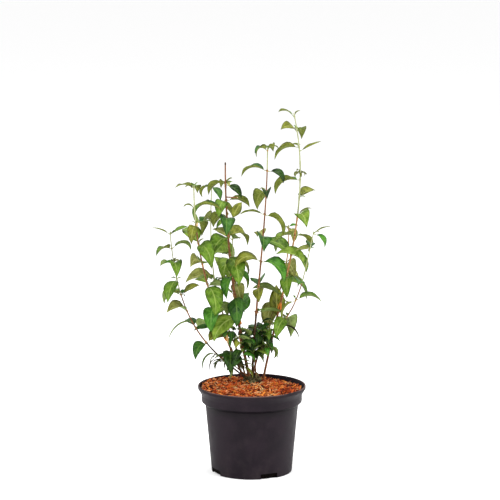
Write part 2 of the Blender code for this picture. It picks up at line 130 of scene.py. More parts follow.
def dress(piece, name, slot, *replaced):
    """Name a finished piece, let it ride on the body, and let it stand for the solids it replaces."""
    piece.name = piece.data.name = name
    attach(piece, "root")
    if replaced:
        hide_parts(*replaced)
    print(name, len(piece.data.vertices), "corners,", len(piece.data.polygons), "faces")


def joined_mesh(name, parts, materials):
    """One object from many parts. A part has corners, faces, a finish for each face, and face corner UVs."""
    corners = np.vstack([part[0] for part in parts])
    faces, finishes, marks = [], [], []
    start = 0
    for part_corners, part_faces, part_finishes, part_marks in parts:
        faces += [tuple(start + corner for corner in face) for face in part_faces]
        finishes += list(part_finishes)
        marks.append(part_marks)
        start += len(part_corners)
    mesh = bpy.data.meshes.new(name)
    mesh.from_pydata(corners.tolist(), [], faces)
    for finish in materials:
        mesh.materials.append(finish)
    mesh.polygons.foreach_set("material_index", finishes)
    mesh.uv_layers.new(name="UVMap").data.foreach_set("uv", np.vstack(marks).ravel())
    mesh.shade_smooth()
    mesh.update()
    piece = bpy.data.objects.new(name, mesh)
    bpy.context.scene.collection.objects.link(piece)
    return piece


def taken_part(piece):
    """A hand-made piece as arrays: corners, faces, finishes and face corner UVs. The piece itself goes."""
    mesh = piece.data
    corners = np.empty(len(mesh.vertices) * 3)
    mesh.vertices.foreach_get("co", corners)
    faces = [tuple(face.vertices) for face in mesh.polygons]
    finishes = [face.material_index for face in mesh.polygons]
    marks = np.zeros(len(mesh.loops) * 2)
    if mesh.uv_layers:
        mesh.uv_layers.active.data.foreach_get("uv", marks)
    bpy.data.objects.remove(piece)
    return corners.reshape(-1, 3), faces, finishes, marks.reshape(-1, 2)


# %% [markdown]
# ## Camera, floor and light
# The photograph looks down on the pot by about ten degrees, from far away, so that upright lines stay
# upright. A long lens gives the same view. The floor is plain and pale, and large soft lights stand round it
# as in a studio: one broad light from the front left, a weaker one from the right, and one overhead.

# %% Camera, floor and lights
CAMERA_PLACE = (-0.0032, -5.0, 1.2877)
CAMERA_DOWN = 10.12
SENSOR_WIDTH = 36
FOCAL_IN_PIXELS = 2908
PHOTO_SIZE = 500
FARTHEST_SEEN = 200
FLOOR_SIZE = 80
FLOOR_COLOUR = (0.96, 0.96, 0.96, 1)
FLOOR_ROUGHNESS = 0.9
PLANT_MIDDLE = Vector((0, 0, 0.33))
LIGHTS = (
    # name, place, size, power
    ("front_left_light", (-1.7, -2.1, 2.1), 1.2, 74),
    ("right_light", (2.1, -1.0, 1.4), 1.1, 42),
    ("top_light", (0.2, 0.3, 2.6), 1.4, 44),
)

start_clean()
bpy.ops.object.camera_add(location=CAMERA_PLACE, rotation=(math.radians(90 - CAMERA_DOWN), 0, 0))
camera = bpy.context.object
camera.name = "camera"
camera.data.sensor_width = SENSOR_WIDTH
camera.data.lens = FOCAL_IN_PIXELS * SENSOR_WIDTH / PHOTO_SIZE
camera.data.clip_end = FARTHEST_SEEN
bpy.context.scene.camera = camera
bpy.context.scene.view_settings.view_transform = "Standard"

start_clean()
bpy.ops.mesh.primitive_plane_add(size=FLOOR_SIZE, location=(0, 0, 0))
floor = bpy.context.object
floor.name = "floor"
floor_paint = bpy.data.materials.new("pale_floor")
floor_paint.use_nodes = True
floor_shader = floor_paint.node_tree.nodes["Principled BSDF"]
floor_shader.inputs["Base Color"].default_value = FLOOR_COLOUR
floor_shader.inputs["Roughness"].default_value = FLOOR_ROUGHNESS
floor.data.materials.append(floor_paint)

for name, place, size, power in LIGHTS:
    bpy.ops.object.light_add(type="AREA", location=place)
    light = bpy.context.object
    light.name = name
    light.data.shape = "SQUARE"
    light.data.size = size
    light.data.energy = power
    light.rotation_euler = (PLANT_MIDDLE - Vector(place)).to_track_quat("-Z", "Y").to_euler()

world = bpy.data.worlds.new("studio")
bpy.context.scene.world = world
world.use_nodes = True
sky = world.node_tree.nodes["Background"].inputs
sky["Color"].default_value = (1, 1, 1, 1)
sky["Strength"].default_value = 1.0
print("camera at", CAMERA_PLACE, "with a lens of", round(camera.data.lens, 1), "mm")

# %% [markdown]
# ## Shader groups
# Several finishes share the same effects, so each effect is a node group with named sockets, built once: a
# mottle between two colours, long fibres, the veins of a leaf, dust, and a mask for a band of heights. The
# groups put out only colours, masks and heights. The shader itself stays in each material.

# %% Helpers for node groups and materials
SOCKET_KINDS = {type(None): "NodeSocketVector", tuple: "NodeSocketColor", float: "NodeSocketFloat"}


def new_group(name, inputs):
    """A node group and its input sockets. Each is a vector, a colour or a number, as its value is."""
    group = bpy.data.node_groups.new(name, "ShaderNodeTree")
    for label, value in inputs.items():
        socket = group.interface.new_socket(label, in_out="INPUT", socket_type=SOCKET_KINDS[type(value)])
        if value is not None:
            socket.default_value = value
    return group, group.nodes.new("NodeGroupInput").outputs


def put_out(group, **results):
    """Let a group put out its results, each under its own name, with _ for a space."""
    results = {label.replace("_", " "): result for label, result in results.items()}
    for label, result in results.items():
        kind = "NodeSocketColor" if result.type == "RGBA" else "NodeSocketFloat"
        group.interface.new_socket(label, in_out="OUTPUT", socket_type=kind)
    way_out = group.nodes.new("NodeGroupOutput")
    for label, result in results.items():
        group.links.new(result, way_out.inputs[label])
    return group


def node(tree, kind, links=None, **settings):
    """A node with its settings, its values and its links from other nodes' sockets."""
    made = tree.nodes.new("ShaderNode" + kind)
    for key, value in settings.items():
        setattr(made, key, value)
    for socket, source in (links or {}).items():
        if isinstance(source, bpy.types.NodeSocket):
            tree.links.new(source, made.inputs[socket])
        else:
            made.inputs[socket].default_value = source
    return made


def calculate(tree, operation, first, second=0.0, third=0.0, clamp=False):
    """A math node's result."""
    made = node(tree, "Math", {0: first, 1: second, 2: third}, operation=operation, use_clamp=clamp)
    return made.outputs[0]


def times(tree, first, second):
    """The product of two values."""
    return calculate(tree, "MULTIPLY", first, second)


def minus(tree, first, second, clamp=False):
    """The first value less the second."""
    return calculate(tree, "SUBTRACT", first, second, clamp=clamp)


def ramp_between(tree, value, low, high):
    """0 below low, 1 above high, and smooth between."""
    made = node(tree, "MapRange", {"Value": value, "From Min": low, "From Max": high},
                interpolation_type="SMOOTHSTEP")
    return made.outputs["Result"]


def blend_colours(tree, share, first, second):
    """A mix of two colours by a share from 0 to 1."""
    return node(tree, "Mix", {"Factor": share, 6: first, 7: second}, data_type="RGBA").outputs[2]


def noise(tree, place, scale, detail, roughness=0.5):
    """Clouds of noise, from 0 to 1."""
    made = node(tree, "TexNoise", {"Vector": place, "Scale": scale, "Detail": detail, "Roughness": roughness})
    return made.outputs["Fac"]


def height_of(tree, place):
    """How high a place lies."""
    return node(tree, "SeparateXYZ", {0: place}).outputs["Z"]


# %% The shared effects
PATCH_EDGES = (0.34, 0.66)
SPECKLE_EDGES = (0.35, 0.65)
SPECKLE_SHARE = 0.3
STREAK_EDGES = (0.36, 0.64)
MIDRIB_EDGES = (0.02, 0.12)
SIDE_VEIN_EDGES = (0.02, 0.13)
SIDE_VEIN_REACH = 1.1
QUILT_EDGES = (0.0, 0.42)
DUST_EDGES = (0.42, 0.75)
DUST_ALL_OVER = 0.3


def build_mottle():
    """Two colours mixed in soft patches, with a second, finer speckle on top."""
    group, source = new_group("mottle", {"Place": None, "Patch Scale": 100.0, "Speckle Scale": 900.0,
                                         "First Colour": (0, 0, 0, 1), "Second Colour": (1, 1, 1, 1)})
    clouds = noise(group, source["Place"], source["Patch Scale"], detail=3.0)
    soft = ramp_between(group, clouds, *PATCH_EDGES)
    specks = noise(group, source["Place"], source["Speckle Scale"], detail=2.0)
    fine = ramp_between(group, specks, *SPECKLE_EDGES)
    share = calculate(group, "MULTIPLY_ADD", fine, SPECKLE_SHARE, times(group, soft, 1 - SPECKLE_SHARE))
    colour = blend_colours(group, share, source["First Colour"], source["Second Colour"])
    return put_out(group, Colour=colour, Patches=soft, Speckle=fine)


def build_fibres():
    """Long thin streaks along the up direction, as on bark and split wood."""
    group, source = new_group("fibres", {"Place": None, "Scale": 600.0, "Stretch": 0.15})
    stretch = node(group, "CombineXYZ", {"X": 1.0, "Y": 1.0, "Z": source["Stretch"]}).outputs[0]
    place = node(group, "VectorMath", {0: source["Place"], 1: stretch}, operation="MULTIPLY").outputs[0]
    height = noise(group, place, source["Scale"], detail=4.0, roughness=0.6)
    return put_out(group, Streaks=ramp_between(group, height, *STREAK_EDGES), Height=height)


def build_veins():
    """The midrib and the side veins that sweep forward from it, from a leaf's own UV map."""
    group, source = new_group("veins", {"Place": None, "Pairs": 6.0, "Sweep": 1.7})
    place = node(group, "SeparateXYZ", {0: source["Place"]}).outputs
    off_centre = calculate(group, "ABSOLUTE", minus(group, place["Y"], 0.5))
    across = times(group, off_centre, 2.0)
    midrib = minus(group, 1.0, ramp_between(group, across, *MIDRIB_EDGES))
    along = times(group, place["X"], source["Pairs"])
    swept = minus(group, along, times(group, across, source["Sweep"]))
    beat = calculate(group, "PINGPONG", swept, 0.5)
    side = minus(group, 1.0, ramp_between(group, beat, *SIDE_VEIN_EDGES))
    fading = times(group, side, minus(group, SIDE_VEIN_REACH, across, clamp=True))
    height = minus(group, ramp_between(group, beat, *QUILT_EDGES), midrib)
    return put_out(group, Midrib=midrib, Side_Veins=fading, Height=height)


def build_dust():
    """A mask of pale dust that gathers in patches and thins out upwards from a given height."""
    group, source = new_group("dust", {"Place": None, "Scale": 40.0, "Foot": 0.0, "Reach": 0.05})
    clouds = noise(group, source["Place"], source["Scale"], detail=6.0, roughness=0.65)
    patches = ramp_between(group, clouds, *DUST_EDGES)
    above = minus(group, height_of(group, source["Place"]), source["Foot"])
    low = minus(group, 1.0, calculate(group, "DIVIDE", above, source["Reach"]), clamp=True)
    share = calculate(group, "MULTIPLY_ADD", low, 1 - DUST_ALL_OVER, DUST_ALL_OVER)
    return put_out(group, Mask=times(group, patches, share))


def build_band():
    """A mask that grows from one height to another, and ends sharply at a third."""
    group, source = new_group("band", {"Place": None, "Low": 0.0, "High": 0.1, "Top": 1.0})
    height = height_of(group, source["Place"])
    run = minus(group, source["High"], source["Low"])
    above = minus(group, height, source["Low"])
    risen = calculate(group, "DIVIDE", above, run, clamp=True)
    below = calculate(group, "LESS_THAN", height, source["Top"])
    return put_out(group, Mask=times(group, risen, below))


MOTTLE = build_mottle()
FIBRES = build_fibres()
VEINS = build_veins()
DUST = build_dust()
BAND = build_band()
print("shader groups:", ", ".join(group.name for group in (MOTTLE, FIBRES, VEINS, DUST, BAND)))

# %% [markdown]
# ## Finishes
# Colours are read off the photograph and written as they look on a screen. Each finish takes its own
# values for the shared groups. Leaves come in several greens, because the finish is dealt out leaf by leaf:
# most of the old low leaves are dark, which also paints the shade low in the plant, higher ones are mixed,
# and the undersides are a dull olive or grey.

# %% Colour and material helpers
SCREEN_GAMMA = 2.2


def screen_colour(red, green, blue):
    """A colour from 0 to 255, as it looks on a screen, in linear light."""
    return tuple((value / 255) ** SCREEN_GAMMA for value in (red, green, blue)) + (1.0,)


def use(tree, group, **values):
    """The results of a shader group. Its values are given by the names of its sockets, with _ for a space."""
    links = {label.replace("_", " "): value for label, value in values.items()}
    return node(tree, "Group", links, node_tree=group).outputs


def mottled(tree, place, first, second, patches, speckles):
    """The mottle between two colours, with the scales of its patches and speckles."""
    return use(tree, MOTTLE, Place=place, Patch_Scale=patches, Speckle_Scale=speckles,
               First_Colour=screen_colour(*first), Second_Colour=screen_colour(*second))


def new_finish(name, **constants):
    """A material with constant values, its tree, its shader, and the place on the piece in metres."""
    finish = bpy.data.materials.new(name)
    finish.use_nodes = True
    tree = finish.node_tree
    shader = tree.nodes["Principled BSDF"]
    for label, value in constants.items():
        shader.inputs[label.replace("_", " ")].default_value = value
    return finish, tree, shader, node(tree, "TexCoord").outputs["Object"]


def cover(tree, shader, colour, height, strength, distance):
    """Give the shader its colour, and let a height bend the surface's normal."""
    tree.links.new(colour, shader.inputs["Base Color"])
    bump = node(tree, "Bump", {"Height": height, "Strength": strength, "Distance": distance})
    tree.links.new(bump.outputs["Normal"], shader.inputs["Normal"])


# %% Leaf finishes
MIDRIB_SHOWS = 0.75
SIDE_VEINS_SHOW = 0.38
LEAF_RELIEF = 0.0006
LEAF_LOOKS = {
    # name: dark, light, vein, roughness, coat, depth of the relief
    "deep_green": ((11, 28, 6), (39, 67, 20), (70, 96, 40), 0.42, 0.02, 0.55),
    "dark_green": ((20, 50, 12), (58, 96, 36), (88, 120, 52), 0.42, 0.02, 0.55),
    "grass_green": ((28, 68, 12), (70, 118, 38), (98, 138, 58), 0.44, 0.02, 0.5),
    "middle_green": ((46, 72, 8), (94, 124, 38), (126, 146, 70), 0.44, 0.02, 0.5),
    "olive_green": ((64, 70, 12), (114, 120, 40), (146, 148, 78), 0.46, 0.02, 0.45),
    "light_green": ((66, 92, 18), (116, 140, 52), (146, 162, 86), 0.46, 0.02, 0.45),
    "dull_green": ((84, 88, 32), (136, 140, 74), (164, 164, 104), 0.52, 0.0, 0.45),
    "withered": ((26, 26, 12), (66, 64, 34), (88, 84, 50), 0.75, 0.0, 0.8),
    "underside_olive": ((78, 88, 32), (112, 121, 53), (134, 137, 75), 0.62, 0.0, 0.6),
    "underside_grey": ((81, 99, 46), (113, 131, 71), (134, 147, 92), 0.64, 0.0, 0.6),
}


def leaf_finish(name, dark, light, vein, roughness, coat, depth):
    """One side of a leaf: mottled lamina, paler veins, and a quilted surface between them."""
    finish, tree, shader, place = new_finish(name, Roughness=roughness, Coat_Weight=coat, Coat_Roughness=0.35,
                                             Specular_IOR_Level=0.12)
    lamina = mottled(tree, place, dark, light, patches=70.0, speckles=700.0)
    veins = use(tree, VEINS, Place=node(tree, "UVMap").outputs["UV"])
    share = calculate(tree, "MAXIMUM", times(tree, veins["Midrib"], MIDRIB_SHOWS),
                      times(tree, veins["Side Veins"], SIDE_VEINS_SHOW))
    colour = blend_colours(tree, share, lamina["Colour"], screen_colour(*vein))
    cover(tree, shader, colour, veins["Height"], depth, LEAF_RELIEF)
    return finish


LEAF_FINISHES = [leaf_finish("leaf_" + name, *look) for name, look in LEAF_LOOKS.items()]
FINISH_NUMBERS = {name: number for number, name in enumerate(LEAF_LOOKS)}
print(len(LEAF_FINISHES), "leaf finishes")

# %% Wood, bark, soil and plastic finishes
WOODY_RELIEF = 0.0004
WOODY_LOOKS = {
    # name: dark, light, roughness, depth of the relief, and where it isn't as on a cane, scale and stretch
    "cane_dark_brown": ((46, 30, 18), (88, 62, 38), 0.6, 0.6),
    "cane_brown": ((90, 54, 30), (144, 98, 58), 0.55, 0.5),
    "cane_red_brown": ((98, 60, 34), (144, 100, 62), 0.5, 0.4),
    "cane_orange": ((140, 96, 54), (182, 140, 90), 0.5, 0.35),
    "cane_pale_green": ((134, 138, 94), (174, 178, 138), 0.5, 0.3),
    "leaf_stalk": ((108, 122, 62), (156, 160, 96), 0.5, 0.2),
    "cut_wood": ((206, 178, 132), (232, 214, 176), 0.7, 0.5),
    "crown_wood": ((48, 42, 24), (120, 112, 76), 0.85, 1.0, 420.0, 0.6),
    "chip_orange": ((150, 60, 18), (194, 94, 36), 0.8, 0.9, 500.0, 0.6),
    "chip_golden": ((176, 98, 36), (216, 136, 60), 0.8, 0.9, 500.0, 0.6),
    "chip_bright": ((190, 118, 72), (228, 170, 124), 0.8, 0.8, 500.0, 0.6),
    "chip_brown": ((102, 36, 12), (150, 62, 22), 0.85, 0.9, 500.0, 0.6),
    "chip_dark": ((46, 16, 8), (92, 34, 14), 0.9, 0.9, 500.0, 0.6),
    "straw": ((196, 158, 98), (226, 202, 154), 0.7, 0.4, 500.0, 0.6),
    "bark_bed": ((48, 22, 14), (112, 52, 28), 0.9, 1.0, 420.0, 1.0),
}
CANES_TAKE = ("cane_dark_brown", "cane_brown", "cane_red_brown", "cane_orange", "cane_pale_green")
SHREDS_TAKE = ("chip_orange", "chip_golden", "chip_bright", "chip_brown", "chip_dark", "straw")
RED_TONE, ORANGE_TONE, PALE_TONE = 2, 3, 4
STRAW_TONE = 5


def woody_finish(name, dark, light, roughness, depth, scale=900.0, stretch=0.12):
    """Bark or split wood: streaks along its length, over a mottle of its two colours."""
    finish, tree, shader, place = new_finish(name, Roughness=roughness, Specular_IOR_Level=0.2)
    streaks = use(tree, FIBRES, Place=place, Scale=scale, Stretch=stretch)
    grain = mottled(tree, place, dark, light, patches=160.0, speckles=1600.0)
    colour = blend_colours(tree, streaks["Streaks"], screen_colour(*dark), grain["Colour"])
    cover(tree, shader, colour, streaks["Height"], depth, WOODY_RELIEF)
    return finish


WOOD = {name: woody_finish(name, *look) for name, look in WOODY_LOOKS.items()}
CANE_FINISHES = [WOOD[name] for name in CANES_TAKE]
SHRED_FINISHES = [WOOD[name] for name in SHREDS_TAKE]

DUST_ON_POT = (0.05, (128, 120, 112))
# painted shade: under the collar the plastic is darkened towards near-black, where the collar's shadow falls
PAINTED_SHADE_UNDER_COLLAR = (0.6, (8, 5, 8))
# painted highlight: a pale line along the top of the lip
PAINTED_LIP_HIGHLIGHT = (0.55, (120, 92, 84))
SATIN_RANGE = (0.10, 0.46)
DUST_DULLS = 0.25
POT_LOOKS = (
    # name, shine, two colours
    ("nursery_pot_plastic", 0.1, (24, 18, 24), (33, 26, 32)),
    # a duller copy of the plastic for the step under the collar, as painted shade
    ("nursery_pot_sheltered", 0.045, (26, 20, 26), (36, 29, 35)),
    # a dark matte copy of the plastic: painted shade for the hollows of the notches and under the foot
    ("nursery_pot_unrubbed", 0.0, (14, 10, 14), (22, 17, 21)),
)


def soil_finish():
    """Dark peaty compost of fine crumbs."""
    finish, tree, shader, place = new_finish("peat", Roughness=0.95, Specular_IOR_Level=0.05)
    crumbs = mottled(tree, place, (5, 4, 3), (18, 13, 10), patches=260.0, speckles=1400.0)
    cover(tree, shader, crumbs["Colour"], crumbs["Patches"], strength=0.8, distance=0.001)
    return finish


def pot_finish(name, shine, first, second):
    """Black recycled plastic: a plum tint, satin skin, dusty foot, painted collar shade and painted lip
    highlight.
    """
    finish, tree, shader, place = new_finish(name, Specular_IOR_Level=shine)
    skin = mottled(tree, place, first, second, patches=26.0, speckles=1100.0)
    dust = use(tree, DUST, Place=place, Scale=55.0, Foot=0.0, Reach=0.05)
    # painted shade in a band under the collar
    painted_shade_band = use(tree, BAND, Place=place, Low=0.108, High=0.1207, Top=0.1262)
    # the top of the lip, where a mottled painted highlight goes
    lip = use(tree, BAND, Place=place, Low=0.1522, High=0.1536, Top=1.0)
    painted_lip_highlight = times(tree, lip["Mask"], skin["Patches"])
    colour = skin["Colour"]
    for mask, (share, shown) in ((dust["Mask"], DUST_ON_POT), (painted_shade_band["Mask"], PAINTED_SHADE_UNDER_COLLAR),
                                 (painted_lip_highlight, PAINTED_LIP_HIGHLIGHT)):
        colour = blend_colours(tree, times(tree, mask, share), colour, screen_colour(*shown))
    satin = calculate(tree, "MULTIPLY_ADD", skin["Patches"], *SATIN_RANGE)
    duller = calculate(tree, "MULTIPLY_ADD", dust["Mask"], DUST_DULLS, satin)
    tree.links.new(duller, shader.inputs["Roughness"])
    cover(tree, shader, colour, skin["Speckle"], strength=0.10, distance=0.0002)
    return finish


PEAT = soil_finish()
POT_FINISHES = [pot_finish(*look) for look in POT_LOOKS]
print("finishes:", len(bpy.data.materials))

# %% [markdown]
# ## The pot
# A nursery pot is one thin moulded wall: a tapering body, a wider collar for stacking, and a rolled lip.
# By hand it starts as a circle at the foot. Each further edge is an extrusion that is moved up and resized,
# up the outside, over the lip and down the inside. Then the drain notches are cut in its foot.

# %% Pot
pot_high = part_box("pot")[1]
POT_HEIGHT = pot_high.z
LIP_RADIUS = pot_high.x
FOOT_RADIUS = 0.071
BODY_TOP = (0.082, 0.1208)
COLLAR = (0.0885, 0.1263, 0.138)
LIP_FOOT = 0.148
POT_WALL = 0.0016
POT_FLOOR = 0.002
LIP_WIDTH = 0.0026
MOUTH_RADIUS = LIP_RADIUS - LIP_WIDTH - 0.0008
POT_SIDES = 144

POT_OUTSIDE = [
    # radius, height
    (FOOT_RADIUS - 0.0015, 0.0), (FOOT_RADIUS - 0.0004, 0.0004), (FOOT_RADIUS, 0.0015),
    (FOOT_RADIUS + 0.0003, 0.006), (BODY_TOP[0] - 0.0004, BODY_TOP[1] - 0.004), BODY_TOP,
    (BODY_TOP[0] + 0.0012, BODY_TOP[1] + 0.0004), (COLLAR[0] - 0.0012, COLLAR[1] - 0.0012),
    (COLLAR[0] - 0.0002, COLLAR[1] - 0.0002), (COLLAR[0], COLLAR[1] + 0.0008),
    (COLLAR[0], COLLAR[2] - 0.001), (COLLAR[0] + 0.0006, COLLAR[2] + 0.0012),
    (LIP_RADIUS - 0.0014, LIP_FOOT - 0.0008), (LIP_RADIUS - 0.0004, LIP_FOOT + 0.0002),
    (LIP_RADIUS, LIP_FOOT + 0.0010), (LIP_RADIUS, POT_HEIGHT - 0.0012),
    (LIP_RADIUS - 0.0004, POT_HEIGHT - 0.0003), (LIP_RADIUS - 0.0012, POT_HEIGHT),
]
POT_INSIDE = [
    (LIP_RADIUS - LIP_WIDTH + 0.0004, POT_HEIGHT), (LIP_RADIUS - LIP_WIDTH, POT_HEIGHT - 0.0006),
    (MOUTH_RADIUS, LIP_FOOT), (COLLAR[0] - POT_WALL, COLLAR[2]),
    (COLLAR[0] - POT_WALL, COLLAR[1]), (BODY_TOP[0] - POT_WALL, BODY_TOP[1]),
    (FOOT_RADIUS - POT_WALL, POT_FLOOR),
]


def drawn_up(outline, sides):
    """A round shell made from a circle by extruding it along an outline of radius and height."""
    start_clean()
    first_radius, first_height = outline[0]
    bpy.ops.mesh.primitive_circle_add(vertices=sides, radius=first_radius, fill_type="NGON",
                                      location=(0, 0, first_height))
    shell = bpy.context.object
    settle(shell)
    edit_all()
    bpy.ops.mesh.flip_normals()
    for (low_radius, low), (radius, height) in zip(outline, outline[1:]):
        bpy.ops.mesh.extrude_region_move(TRANSFORM_OT_translate={"value": (0, 0, height - low)})
        share = radius / low_radius
        bpy.ops.transform.resize(value=(share, share, 1), center_override=(0, 0, height))
    close_edit()
    return shell


pot = drawn_up(POT_OUTSIDE + POT_INSIDE, POT_SIDES)

# %% Drain notches
NOTCHES = 4
FIRST_NOTCH = 25.5
NOTCH_WIDTH = 0.032
NOTCH_HEIGHT = 0.0095
NOTCH_DEPTH = 0.0069
NOTCH_ROUNDING = 0.0016
NOTCH_INSET = 0.0009
POT_EDGE_ANGLE = 38

for turn in range(NOTCHES):
    bearing = math.radians(FIRST_NOTCH + 360 * turn / NOTCHES)
    place = Vector((math.sin(bearing), -math.cos(bearing), 0)) * FOOT_RADIUS
    start_clean()
    bpy.ops.mesh.primitive_cube_add(size=1, location=place, rotation=(0, 0, bearing),
                                    scale=(NOTCH_WIDTH, 2 * NOTCH_DEPTH, 2 * NOTCH_HEIGHT))
    cutter = bpy.context.object
    bpy.ops.object.transform_apply(location=False, rotation=False, scale=True)
    rounding = cutter.modifiers.new("rounding", "BEVEL")
    rounding.width = NOTCH_ROUNDING
    rounding.segments = 2
    apply_all(cutter)
    notch = pot.modifiers.new("notch", "BOOLEAN")
    notch.operation = "DIFFERENCE"
    notch.object = cutter
    apply_all(pot)
    bpy.data.objects.remove(cutter)

give(pot, *POT_FINISHES)
for face in pot.data.polygons:
    # the step under the collar takes the duller copy, as painted shade
    if BODY_TOP[1] < face.center.z < COLLAR[1]:
        face.material_index = 1
    # faces in the notches and under the foot take the dark matte copy, as painted shade
    if face.center.z < NOTCH_HEIGHT and face.center.xy.length < FOOT_RADIUS - NOTCH_INSET:
        face.material_index = 2
work_on(pot)
bpy.ops.object.shade_smooth_by_angle(angle=math.radians(POT_EDGE_ANGLE))
dress(pot, "nursery_pot", "pot", "pot")
give(nodes["compost"], PEAT)

# %% [markdown]
# ## The rule of growth
# Seven canes rise from one crown. The tall one has a foot of its own, and a ninth branches off it. Each is a
# Bezier curve from foot to tip, bare below and leafy above. Leaves sit in pairs, each pair turned a quarter
# from the last, and a seed draws how each leaf is held. The solids follow the same rule, so the same draws in
# the same order give the same leaves. Where a leaf's neighbours forced the solid to lift or lower it, the
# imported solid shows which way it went.


# %% Canes
class Cane:
    """One slender stem and the seeded rule for the leaves along it."""

    def __init__(self, name, handles, radii, leafy, heading, leaf, pairs, seeds):
        self.name = name
        self.handles = [Vector(handle) for handle in handles]
        self.radii = radii
        self.leafy = leafy
        self.heading = heading
        self.leaf = leaf
        self.pairs = pairs
        self.seeds = seeds


CLEAR = 0.0003
CANES = [
    # name, the curve's four handles, radii at its ends, leafy stretch, heading of the first leaf, leaf
    # length, pairs of leaves in each mass, and the seed of each mass
    Cane("far_left", ((-0.013, 0.026, 0.1627), (-0.085, 0.021, 0.2197), (-0.131, 0.020, 0.2647),
                      (-0.143, 0.010, 0.4257)),
         (0.0016, 0.0008), (0.30, 0.985), 44, 0.052, (3, 3, 2), (4095, 84, 6744)),
    Cane("left", ((-0.016, 0.034, 0.1637), (-0.072, 0.008, 0.2907), (-0.101, -0.014, 0.3927),
                  (-0.100, -0.045, 0.5167)),
         (0.0021, 0.0010), (0.14, 0.985), 54, 0.058, (3, 3, 3), (3482, 697, 2280)),
    Cane("back_left", ((-0.012, 0.042, 0.1637), (-0.043, 0.062, 0.2677), (-0.082, 0.066, 0.2797),
                       (-0.071, 0.110, 0.4967)),
         (0.0016, 0.0008), (0.50, 0.985), 18, 0.052, (3, 3), (506, 3432)),
    Cane("centre", ((-0.005, 0.031, 0.1637), (-0.031, 0.021, 0.2857), (-0.047, 0.006, 0.4247),
                    (-0.046, -0.010, 0.5507)),
         (0.0029, 0.0013), (0.28, 0.90), 36, 0.057, (3, 3, 2), (1470, 774, 2457)),
    Cane("centre_back", ((-0.005, 0.041, 0.1637), (-0.028, 0.057, 0.2557), (-0.034, 0.075, 0.3457),
                         (-0.035, 0.095, 0.4357)),
         (0.0015, 0.0008), (0.45, 0.985), 36, 0.056, (2, 3), (7444, 6223)),
    Cane("right_centre", ((0.001, 0.031, 0.1637), (0.005, 0.003, 0.3037), (0.027, -0.022, 0.4427),
                          (0.027, -0.050, 0.5837)),
         (0.0022, 0.0010), (0.28, 0.985), -10, 0.056, (3, 3, 2), (4451, 196, 9349)),
    Cane("tall_right", ((0.020, 0.050, 0.1513), (0.050, 0.043, 0.3127), (0.110, 0.035, 0.4727),
                        (0.073, 0.025, 0.6327)),
         (0.0022, 0.0009), (0.235, 0.985), 54, 0.054, (3, 3, 3, 3), (1470, 894, 8717, 931)),
    Cane("inner_right", ((0.002, 0.042, 0.1637), (0.023, 0.065, 0.2517), (0.072, 0.085, 0.3267),
                         (0.065, 0.105, 0.4217)),
         (0.0018, 0.0009), (0.50, 0.985), 82, 0.054, (2, 3), (8283, 923)),
    Cane("far_right", ((0.047, 0.042, 0.2417), (0.087, 0.017, 0.2927), (0.092, -0.011, 0.3607),
                       (0.107, -0.045, 0.4347)),
         (0.0013, 0.0007), (0.16, 0.985), 82, 0.052, (3, 3), (5992, 3849)),
]
BRANCH = CANES[-1]
BRANCH_PARENT = CANES[6]
BRANCH_SHARE = 0.185

# %% Reading a curve
PATH_STEPS = 96
INTERNODE_RATIO = 0.955


def bezier(handles, share):
    """A point on the curve that the handles describe."""
    points = [Vector(handle) for handle in handles]
    while len(points) > 1:
        points = [a.lerp(b, share) for a, b in zip(points, points[1:])]
    return points[0]


class Path:
    """A smooth curve that is read by the share of its length."""

    def __init__(self, handles):
        self.points = [bezier(handles, step / PATH_STEPS) for step in range(PATH_STEPS + 1)]
        self.lengths = [0.0]
        for a, b in zip(self.points, self.points[1:]):
            self.lengths.append(self.lengths[-1] + (b - a).length)
        self.length = self.lengths[-1]

    def at(self, share):
        """The point at a share of the length."""
        wanted = min(max(share, 0.0), 1.0) * self.length
        for step in range(PATH_STEPS):
            if self.lengths[step + 1] >= wanted:
                run = self.lengths[step + 1] - self.lengths[step]
                past = (wanted - self.lengths[step]) / run
                return self.points[step].lerp(self.points[step + 1], past)
        return self.points[-1]

    def way(self, share):
        """The direction of growth at a share of the length."""
        step = 0.5 / PATH_STEPS
        return (self.at(share + step) - self.at(share - step)).normalized()


def cane_radius(cane, share):
    """The cane's radius at a share of its length."""
    return cane.radii[0] + (cane.radii[1] - cane.radii[0]) * share


def node_shares(cane):
    """Where the pairs of leaves sit, as shares of the length: closer together towards the tip."""
    low, high = cane.leafy
    count = sum(cane.pairs)
    steps = [INTERNODE_RATIO ** index for index in range(count - 1)]
    return [low + (high - low) * sum(steps[:index]) / sum(steps) for index in range(count)]


paths = {cane.name: Path(cane.handles) for cane in CANES}
parent_path = paths[BRANCH_PARENT.name]
branch_root = parent_path.at(BRANCH_SHARE)
branch_way = (BRANCH.handles[1] - branch_root).normalized()
slope = branch_way.dot(parent_path.way(BRANCH_SHARE))
branch_reach = cane_radius(BRANCH_PARENT, BRANCH_SHARE) + CLEAR + BRANCH.radii[0] * slope
BRANCH.handles[0] = branch_root + branch_way * branch_reach / math.sqrt(1 - slope ** 2)
paths[BRANCH.name] = Path(BRANCH.handles)
for name, path in paths.items():
    print(name, round(path.length * 1000), "mm long")

# %% Drawing leaves by seed
TURN_SPREAD = 38
HELD_BY_RULE = ((-12, 52), (35, 135), (0.75, 1.20), (-42, 42), (8, 34))
FALLEN_SHARE = 0.10
PAIR_TURN = 90
TIP_LEAF_LOSS = 0.40
TIP_LEAF_POWER = 4
PETIOLE_LENGTH = 0.006
RETRY_LIFTS = (0, 16, -16, 32, -32)
SOLID_STATIONS = (0.0, 0.32, 0.68, 1.0)
SOLID_WIDTHS = (1.0, 0.66)
LEAF_WIDTH = 0.52
MATCH_DISTANCE = 0.0004
MARKS_TO_MATCH = 2


